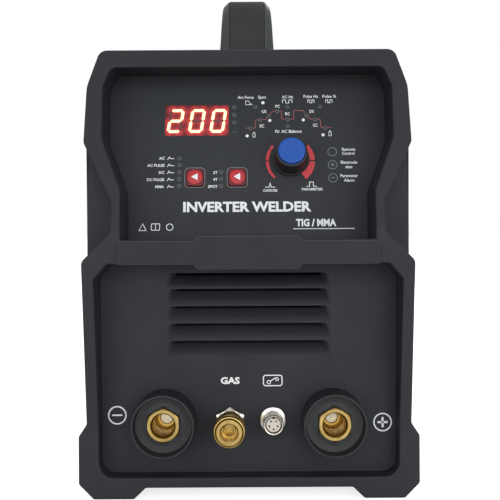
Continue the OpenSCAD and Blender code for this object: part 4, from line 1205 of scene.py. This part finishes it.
def rear_frame():
    window = outline([(86, 258, 12), (86, 18, 12)])
    face = bent_line([(-1, 203), (30, 203), (110, 215), (165, 215), (274, 198.85)], EASE)
    s = Shell()
    edge, wall = s.rim(SKIRT, 1.3, face, back=-1)
    opening, opening_wall = s.rim(window[::-1], 1.1, face, back=-1)
    s.fill(edge, [opening], face, eased(30, 110, 165))
    front = s.loop(SKIRT, 160)
    s.strip(wall, front)
    inner, seat, lip = s.loop(CAVITY, 160), s.loop(CAVITY, 188.55), s.loop(window[::-1], 188.55)
    s.strip(opening_wall, lip)
    s.fill(front, [inner])
    s.strip(inner, seat)
    s.fill(seat, [lip])
    s.done("rear_frame", FRAME, "frame_plastic", ("rear_bezel",))


def handle():
    """An arch lofted along its outer and inner lines, with a soft pad let into its outer side."""
    low, high, deep = 268.05, 324.05, 21.0

    def line(half_l, foot, top, radius):
        bend = corner((-foot, low), (-half_l, top), (half_l, top), radius, count=10)
        leg = [(-foot + (bend[0][0] + foot) * t, low + (bend[0][1] - low) * t) for t in (0, 0.34, 0.67)]
        side = leg + bend + [(bend[-1][0] * t, top) for t in (0.75, 0.5, 0.25)]
        return side + [(0.0, top)] + [(-y, z) for y, z in side[::-1]]

    outer, inner = line(115, 115, high, 16), line(89, 85, high - deep, 12)
    wide, pad = 20.2, 12.45

    def arch(bm, section):
        rings = []
        for q, i in zip(outer, inner):
            q, i = Vector(q), Vector(i)
            thick = (q - i).length
            out = (q - i).normalized()
            ring = []
            for x, t in section(thick):
                at = i + out * t
                slim = (wide - 3.4 * min(1.0, (at.y - low) / (high - low - 5)) - pad) / (wide - pad)
                if abs(x) > pad:
                    x = math.copysign(pad + (abs(x) - pad) * slim, x)
                ring.append(bm.verts.new(Vector((x, at.x, at.y)) * MM))
            rings.append(ring)
        return rings

    def shell_section(t):
        w, g = wide, pad
        arc = [(w - 3 + 3 * math.sin(rad(a)), 3 - 3 * math.cos(rad(a))) for a in (0, 18, 36, 54, 72, 90)]
        side = arc + [
            (w, t - 6.6), (w - 0.12, t - 5.9), (w - 0.45, t - 5.3), (w - 0.95, t - 4.6), (g + 1.5, t - 1.1),
            (g + 1.05, t - 0.7),
            (g + 0.5, t - 0.5), (g + 0.1, t - 0.7), (g, t - 1.1), (g, t - 3.0),
        ]
        return side + [(-x, v) for x, v in side[::-1]]

    def pad_section(t):
        g = 12.38
        side = [(g, t - 2.95), (g, t - 0.9), (g - 0.1, t - 0.5), (g - 0.35, t - 0.2), (g - 0.8, t - 0.04),
            (g - 1.4, t), (4, t)]
        return side + [(-x, v) for x, v in side[::-1]]

    for name, section, mat, slot, node in (
        ("handle_shell", shell_section, HANDLE, "handle_plastic", "handle_frame"),
        ("handle_pad", pad_section, RUBBER, "grip_rubber", "handle_grip"),
    ):
        bm = bmesh.new()
        loft(bm, arch(bm, section))
        obj = piece(name, bm, mat, slot, stands_for=(node,), smooth=38)
        obj.modifiers.new("normals", "WEIGHTED_NORMAL").keep_sharp = True
        baked(obj)


front_frame()
nose_bar()
rear_frame()
handle()
carried(FILM, "control_panel")
carried(PAINT, "case_cover", "rear_panel")
carried(GALVANISED, "base_pan")
screws(
    "side_screws", "case_screws", ZINC, "bright_steel", cross_head(3.3, 1.85, 1.8, 6.9, 0.55),
    lambda b: (1 if b[0].x > 0 else -1, 0, 0),
    lambda b: ((97.05 if b[0].x > 0 else -97.05), centre_of(b).y, centre_of(b).z),
)
screws(
    "back_screws", "rear_screws", ZINC, "bright_steel", cross_head(3.1, 2.1, 1.5, 9.9, 0.1),
    lambda b: (0, -1, 0) if b[0].y < 186 else (0, 1, 0),
    lambda b: (centre_of(b).x, b[0].y + 2.16 if b[0].y < 186 else b[1].y - 2.1, centre_of(b).z),
)


# ---------------------------------------------------------------- output sockets

SOCKETS = [(Vector((side * SOCKET_X, NOSE, SOCKET_Z)) * MM) for side in (-1, 1)]


def sockets():
    collar, brass = bmesh.new(), bmesh.new()
    six = six_sided(18.8)

    def bush(a, r, h):
        return min(six(a, r, h), 9.4 + (h - 14) * 1.4 if h < 15.2 else 99)

    for at in SOCKETS:
        lathe(collar, [
            (16, 44.8), (16, 30), (18.95, 30), (19, 29.9), (19, 11.2), (18.8, 10.5), (18.4, 10.1), (18, 10),
            (17.75, 10.1), (17.55, 10.4), (17.35, 11.2), (17, 17), (16.85, 17.35), (16.5, 17.5), (13.4, 17.5),
            (12.9, 17.62), (12.4, 17.5), (HEX + 0.15, 17.5), (HEX + 0.15, 44.8),
        ], at, BACKWARDS, 132, six)
        lathe(brass, [
            (7.6, 14), (9.35, 14), (HEX, 14.2), (HEX, 14.4), (HEX, 14.7), (HEX, 15.1), (HEX, 58), (4.05, 58),
            (4.05, 37), (5.4, 37), (6.62, 36.2), (6.62, 16), (6.9, 15.2), (7.4, 14.35),
        ], at, BACKWARDS, 96, bush)
    piece("socket_collars", collar, COLLAR, "collar_plastic", stands_for=("socket_shells",), smooth=30)
    piece("socket_bushes", brass, BRASS, "brass", stands_for=("socket_cores",), smooth=30)
    softened("socket_studs", "socket_bolts", ZINC, "bright_steel", 0.5)
    carried(BRASS_DARK, "socket_lock_nuts")


def gas_outlet():
    at = Vector((GAS_X, NOSE, GAS_Z)) * MM
    bm = bmesh.new()
    lathe(bm, [
        (5.5, 1), (7.3, 1), (7.6, 1.3), (7.7, 1.9), (7.7, 20.6), (7.4, 20.9), (7.4, 21.7), (7.7, 22),
        (7.7, 25),
        (8.2, 25.2), (HEX, 25.75), (HEX, 29.5), (8.3, 29.94), (6.5, 29.94), (6.5, 52), (4, 52), (4, 62),
        (2.6, 62),
        (2.6, 24), (4.6, 24), (4.6, 14), (3.7, 14), (3.7, 9.6), (4.75, 9.6), (4.75, 1.9),
    ], at, BACKWARDS, 96, six_sided(17, limit=9.75))
    for face in bm.faces:
        face.material_index = int(24.9 < face.calc_center_median().y / MM - NOSE < 31)
    piece("gas_coupling", bm, [BRASS, NICKEL], "brass", stands_for=("gas_outlet_body",), smooth=30)

    def knurled(a, r, h):
        grip = r > 9 and (3.0 < h < 5.6 or 13.4 < h < 15.7)
        return r - 0.16 * (0.5 + 0.5 * math.cos(a * 48)) if grip else r

    turned("gas_collar", [
        (7.85, 3.4), (7.95, 2.7), (8.15, 2.25), (8.5, 2.02), (8.8, 2.1), (9.08, 2.4), (9.2, 2.8), (9.2, 3.1),
        (9.2, 3.5), (9.2, 5.4), (9.2, 5.7),
        (9, 6.1), (8.6, 6.4), (8.6, 7.9), (9, 8.3), (9.2, 8.6), (9.2, 10.2), (9, 10.6), (8.6, 10.9),
        (8.6, 12.2),
        (9, 12.6), (9.2, 13), (9.2, 13.6), (9.2, 15.4), (9.15, 16.2), (8.8, 17.8), (8.4, 18.8), (8.2, 19),
        (7.85, 19),
    ], at, BRASS, "brass", "sleeve", "gas_outlet_sleeve", steps=288, shape=knurled)
    turned("gas_valve_seat", [
        (0, 18), (3.6, 18), (3.6, 16), (4.5, 16), (4.5, 14.15), (3.6, 14.05), (3.6, 10.2), (3.5, 9.85),
        (3.2, 9.7),
        (2.5, 9.7), (2.28, 9.95), (2.25, 10.4), (2.25, 13), (0, 13),
    ], at, BRASS, "brass", "poppet", "gas_outlet_poppet", steps=64)


def remote_socket():
    at = Vector((REMOTE_X, NOSE, REMOTE_Z)) * MM
    bm = bmesh.new()
    thread = []
    u = 14.2
    while u < 26.4:
        thread += [(5.98, u), (5.98, u + 0.25), (5.72, u + 0.5), (5.72, u + 0.7)]
        u += 0.9
    lathe(bm, [
        (4.9, 13.5), (5.05, 13.1), (5.3, 13), (5.65, 13), (5.85, 13.2), (5.98, 13.6), *thread, (5.9, 26.8),
        (7.4, 27), (7.75, 27.15), (7.95, 27.5), (8, 28), (8, 29.4), (7.8, 29.94), (6, 29.95), (6, 40),
        (3, 40),
        (3, 36.05), (4.9, 36),
    ], at, BACKWARDS, 96)
    piece("remote_shell", bm, NICKEL, "nickel", stands_for=("remote_socket_shell",), smooth=30)
    carried(INSERT, "remote_socket_insert")
    bm = bmesh.new()
    pin = [(0, 19), (0.3, 19.05), (0.42, 19.3), (0.42, 25.95), (0, 25.95)]
    for k in range(5):
        a = rad(90 + 72 * k)
        lathe(bm, pin, at + Vector((2.6 * math.cos(a), 0, -2.6 * math.sin(a))) * MM, BACKWARDS, 16)
    piece("remote_contacts", bm, BRASS_DARK, "insert_white")
    carried(NICKEL, "remote_socket_nut")


sockets()
gas_outlet()
remote_socket()


# ---------------------------------------------------------------- rear

def fan():
    softened("fan_housing", "fan_frame", FAN, "fan_plastic", widths=lambda p, e: 0.5)
    bm = bmesh.new()
    lathe(bm, [
        (0, 152), (2, 152), (2, 181.95), (24, 182), (24, 157), (28.9, 157), (29, 157.3), (29, 182.6),
        (28.4, 184.2), (27.2, 184.95), (21, 185), (20.6, 184.6), (20, 184.6), (19.6, 185), (0, 185),
    ], (0, 0, 0.185), BACKWARDS, 96)
    blades, across, along = 7, 9, 12
    for n in range(blades):
        turn = rad(360 * n / blades)
        layers = []
        for side in (-1, 1):
            sheet = []
            for i in range(across + 1):
                t = i / across
                r = 28.6 + (55.6 - 28.6) * t
                pitch = rad(50 - 22 * t)
                chord = 27 + 9 * t
                sweep = 0.16 * t * t
                row = []
                for j in range(along + 1):
                    s = j / along - 0.5
                    camber = 3.2 * (1 - (2 * s) ** 2)
                    thick = side * (0.25 + 0.75 * (1 - (2 * s) ** 2) ** 0.5)
                    around = (chord * s) * math.cos(pitch) - (camber + thick) * math.sin(pitch)
                    y = 171 + (chord * s) * math.sin(pitch) + (camber + thick) * math.cos(pitch) - 1.6
                    y = min(max(y, 158.2), 183.8)
                    a = turn + sweep + around / r
                    row.append(bm.verts.new(Vector((r * math.cos(a), y, 185 + r * math.sin(a))) * MM))
                sheet.append(row)
            layers.append(sheet)
        for sheet in layers:
            for i in range(across):
                for j in range(along):
                    bm.faces.new([sheet[i][j], sheet[i][j + 1], sheet[i + 1][j + 1], sheet[i + 1][j]])
        rim = [(0, j) for j in range(along)] + [(i, along) for i in range(across)]
        rim += [(across, j) for j in range(along, 0, -1)] + [(i, 0) for i in range(across, 0, -1)]
        bridge(bm, [[sheet[i][j] for i, j in rim] for sheet in layers])
    piece("fan_wheel", bm, FAN, "fan_plastic", "fan", ("fan_rotor",), 40)
    # wire guard
    bm = bmesh.new()
    wire = [(math.cos(rad(22.5 * k)), math.sin(rad(22.5 * k))) for k in range(16)]
    for r in (13, 22, 31, 40, 49, 58):
        lathe(bm, [(r + c, 190.9 + s) for c, s in wire], (0, 0, 0.185), BACKWARDS, 120)
    for k in range(4):
        a = rad(45 + 90 * k)
        out = Vector((math.cos(a), 0, math.sin(a)))
        start = Vector((0, 189.5, 185)) * MM
        lathe(bm, [(0, 11), (0.6, 11), (0.9, 11.4), (0.9, 68.6), (0.6, 69.2), (0, 69.2)], start, out, 24)
        lathe(bm, [(2.3, 188.55), (5, 188.55), (5, 190.3), (4.8, 190.5), (2.3, 190.5)],
              Vector((out.x * 52.5 * 2 ** 0.5, 0, 185 + out.z * 52.5 * 2 ** 0.5)) * MM, BACKWARDS, 48)
    piece("wire_guard", bm, ZINC, "bright_steel", stands_for=("fan_guard",), smooth=40)
    screws(
        "fan_bolts", "fan_screws", ZINC, "bright_steel", cross_head(3.7, 2.25, 2.0, 45.0, 0.05),
        lambda b: (0, 1, 0), lambda b: (centre_of(b).x, 190.6, centre_of(b).z),
    )


def power_switch():
    softened("switch_bezel", "power_switch_body", SWITCH, "switch_black", 0.7)
    softened("switch_rocker", "power_rocker", ROCKER, "rocker_red", 0.7, "rocker")
    pivot = moved(48, 186, 78) @ rotated(12, "X")
    for lean, z, name in ((-12.2, 6.6, "on"), (12.2, -6.6, "off")):
        place = SCALE @ pivot @ moved(0, 5.62, z) @ rotated(lean, "X") @ rotated(180, "Z")
        p = Print(place, -0.05, 0.06)
        if name == "on":
            p.shape(rounded_box(1.1, 5.6, 0.3))
        else:
            p.ring(0, 0, 2.8, 0.9)
        p.done("switch_mark_" + name, INK_WHITE, "rocker_red", "rocker")


def entries():
    """Mains lead with its gland, and the gas inlet."""
    softened("gland_body", "cable_gland", GLAND, "gland_plastic", 0.6)
    softened("gland_nut", "gland_cap", GLAND, "gland_plastic", 0.6)
    bm = bmesh.new()
    at = Vector((-48, 0, 62)) * MM
    lathe(bm, [(0, 147), (5.3, 147), (5.3, 210.6), (5.1, 211), (4.3, 211), (4.2, 210.4), (0, 210.2)], at,
        (0, 1, 0), 64)
    for k, a in enumerate((90, 210, 330)):
        core = at + Vector((2.4 * math.cos(rad(a)), 0, -2.4 * math.sin(rad(a)))) * MM
        lathe(bm, [(0, 210), (1.5, 210), (1.5, 212.9), (1.42, 213), (0, 213)], core, BACKWARDS, 32, mat=1 + k)
        for q in range(7):
            spot = core if q == 0 else core + Vector((0.72 * math.cos(rad(60 * q)), 0,
                0.72 * math.sin(rad(60 * q)))) * MM
            lathe(bm, [(0, 212.9), (0.34, 212.9), (0.34, 214.3), (0.25, 214.45), (0, 214.5)], spot, (0, 1, 0),
                12, mat=4)
    piece("mains_lead", bm, [CABLE, CORE_BROWN, CORE_BLUE, CORE_GREEN, COPPER], "cable_rubber",
        stands_for=("mains_cable",), smooth=35)
    at = Vector((0, 0, 62)) * MM
    barbs = []
    for y in (196.5, 200, 203.5):
        barbs += [(5.7, y), (6.5, y + 0.3), (6.5, y + 0.7), (5.75, y + 3.4)]
    bm = bmesh.new()
    lathe(bm, [
        (2.6, 169), (4, 169), (4, 177), (6.5, 177), (6.5, 183), (HEX, 183), (HEX, 186.9), (6.5, 186.95),
        (6.5, 188.55),
        (8.4, 188.6), (HEX, 189.1), (HEX, 194), (8.3, 194.48), (6.3, 194.5), (5.7, 195), *barbs, (5.7, 207.4),
        (4.9, 208.5), (3, 208.5), (2.6, 208),
    ], at, BACKWARDS, 96, six_sided(16.97, 30, 9.75))
    piece("gas_inlet_stem", bm, BRASS, "brass", stands_for=("gas_inlet",), smooth=30)


fan()
power_switch()
entries()


# ---------------------------------------------------------------- inside

softened("power_caps", "bulk_capacitors", SLEEVE, "cap_sleeve", 1.2)
softened("choke_ring", "output_choke", WINDING, "winding", 0.2, sharp=50)
carried(WINDING, "transformer_windings", "hf_coil")
carried(BOARD, "control_board", "power_board")
carried(ALUMINIUM, "primary_heatsink", "secondary_heatsink", "board_standoffs")
carried(CERAMIC, "transformer_core")
carried(COPPER, "busbars")
carried(HOSE, "gas_hoses")
carried(BRASS_DARK, "gas_valve_body")
carried(ZINC, "gas_valve_plunger", "encoder_body", "encoder_nut", "encoder_shaft")
carried(ZINC, "panel_screws", "handle_screws")
carried(SWITCH, "led_display", "tact_switches")
carried(INSERT, "encoder_plunger")


# ---------------------------------------------------------------- floor, light and camera

def studio():
    floor_mesh = bpy.data.meshes.new("floor")
    reach, drop = 40, -0.0004
    corners = [(i * reach, j * reach, drop) for i, j in ((-1, -1), (1, -1), (1, 1), (-1, 1))]
    floor_mesh.from_pydata(corners, [], [(0, 1, 2, 3)])
    pale = Shader("pale_floor", (245, 245, 245), 0.6, specular=0.05).mottle(2, 0.01)
    pale.glow((255, 255, 255), 0.9)
    path = pale.add("ShaderNodeLightPath")
    pale.link(pale.spread(path.outputs["Is Camera Ray"], 0.0, 1.0, 0.0, 0.75),
        pale.bsdf.inputs["Emission Strength"])
    floor_mesh.materials.append(pale.done())
    new_object("floor", floor_mesh)
    for name, place, size, power, aim in (
        ("key", (-0.3, -2, 0.34), (2.8, 1.3), 22, (0, 0, 0.15)),
        ("fill", (1.2, -1.7, 0.5), (1.6, 1), 9, (0, 0, 0.15)),
        ("top", (0, 0.1, 1.8), (1.8, 1.8), 7, (0, 0, 0.1)),
        ("back", (0.5, 1.8, 1), (1.4, 1), 13, (0, 0, 0.14)),
    ):
        lamp = bpy.data.lights.new(name, "AREA")
        lamp.shape, lamp.size, lamp.size_y, lamp.energy = "RECTANGLE", size[0], size[1], power
        holder = new_object(name, lamp)
        holder.location = place
        holder.rotation_euler = (Vector(aim) - Vector(place)).to_track_quat("-Z", "Y").to_euler()
    world = bpy.data.worlds.new("studio")
    world.use_nodes = True
    tree = world.node_tree
    light = tree.nodes["Background"]
    light.inputs["Color"].default_value = (1.0, 1.0, 1.0, 1.0)
    light.inputs["Strength"].default_value = 0.56
    seen = tree.nodes.new("ShaderNodeBackground")
    seen.inputs["Strength"].default_value = 1.0
    path, mixer = tree.nodes.new("ShaderNodeLightPath"), tree.nodes.new("ShaderNodeMixShader")
    tree.links.new(path.outputs["Is Camera Ray"], mixer.inputs["Fac"])
    tree.links.new(light.outputs["Background"], mixer.inputs[1])
    tree.links.new(seen.outputs["Background"], mixer.inputs[2])
    tree.links.new(mixer.outputs["Shader"], tree.nodes["World Output"].inputs["Surface"])
    seen.inputs["Color"].default_value = (1.0, 1.0, 1.0, 1.0)
    bpy.context.scene.world = world
    bpy.context.scene.view_settings.view_transform = "Standard"
    camera = bpy.data.cameras.new("camera")
    camera.lens, camera.sensor_width = 58.9, 36.0
    camera.shift_x, camera.shift_y = 0.004, -0.03
    camera.clip_start, camera.clip_end = 0.02, 60.0
    eye = new_object("camera", camera)
    eye.location = (0, -0.685, 0.1576)
    eye.rotation_euler = (rad(90), rad(0.33), 0)
    bpy.context.scene.camera = eye


studio()
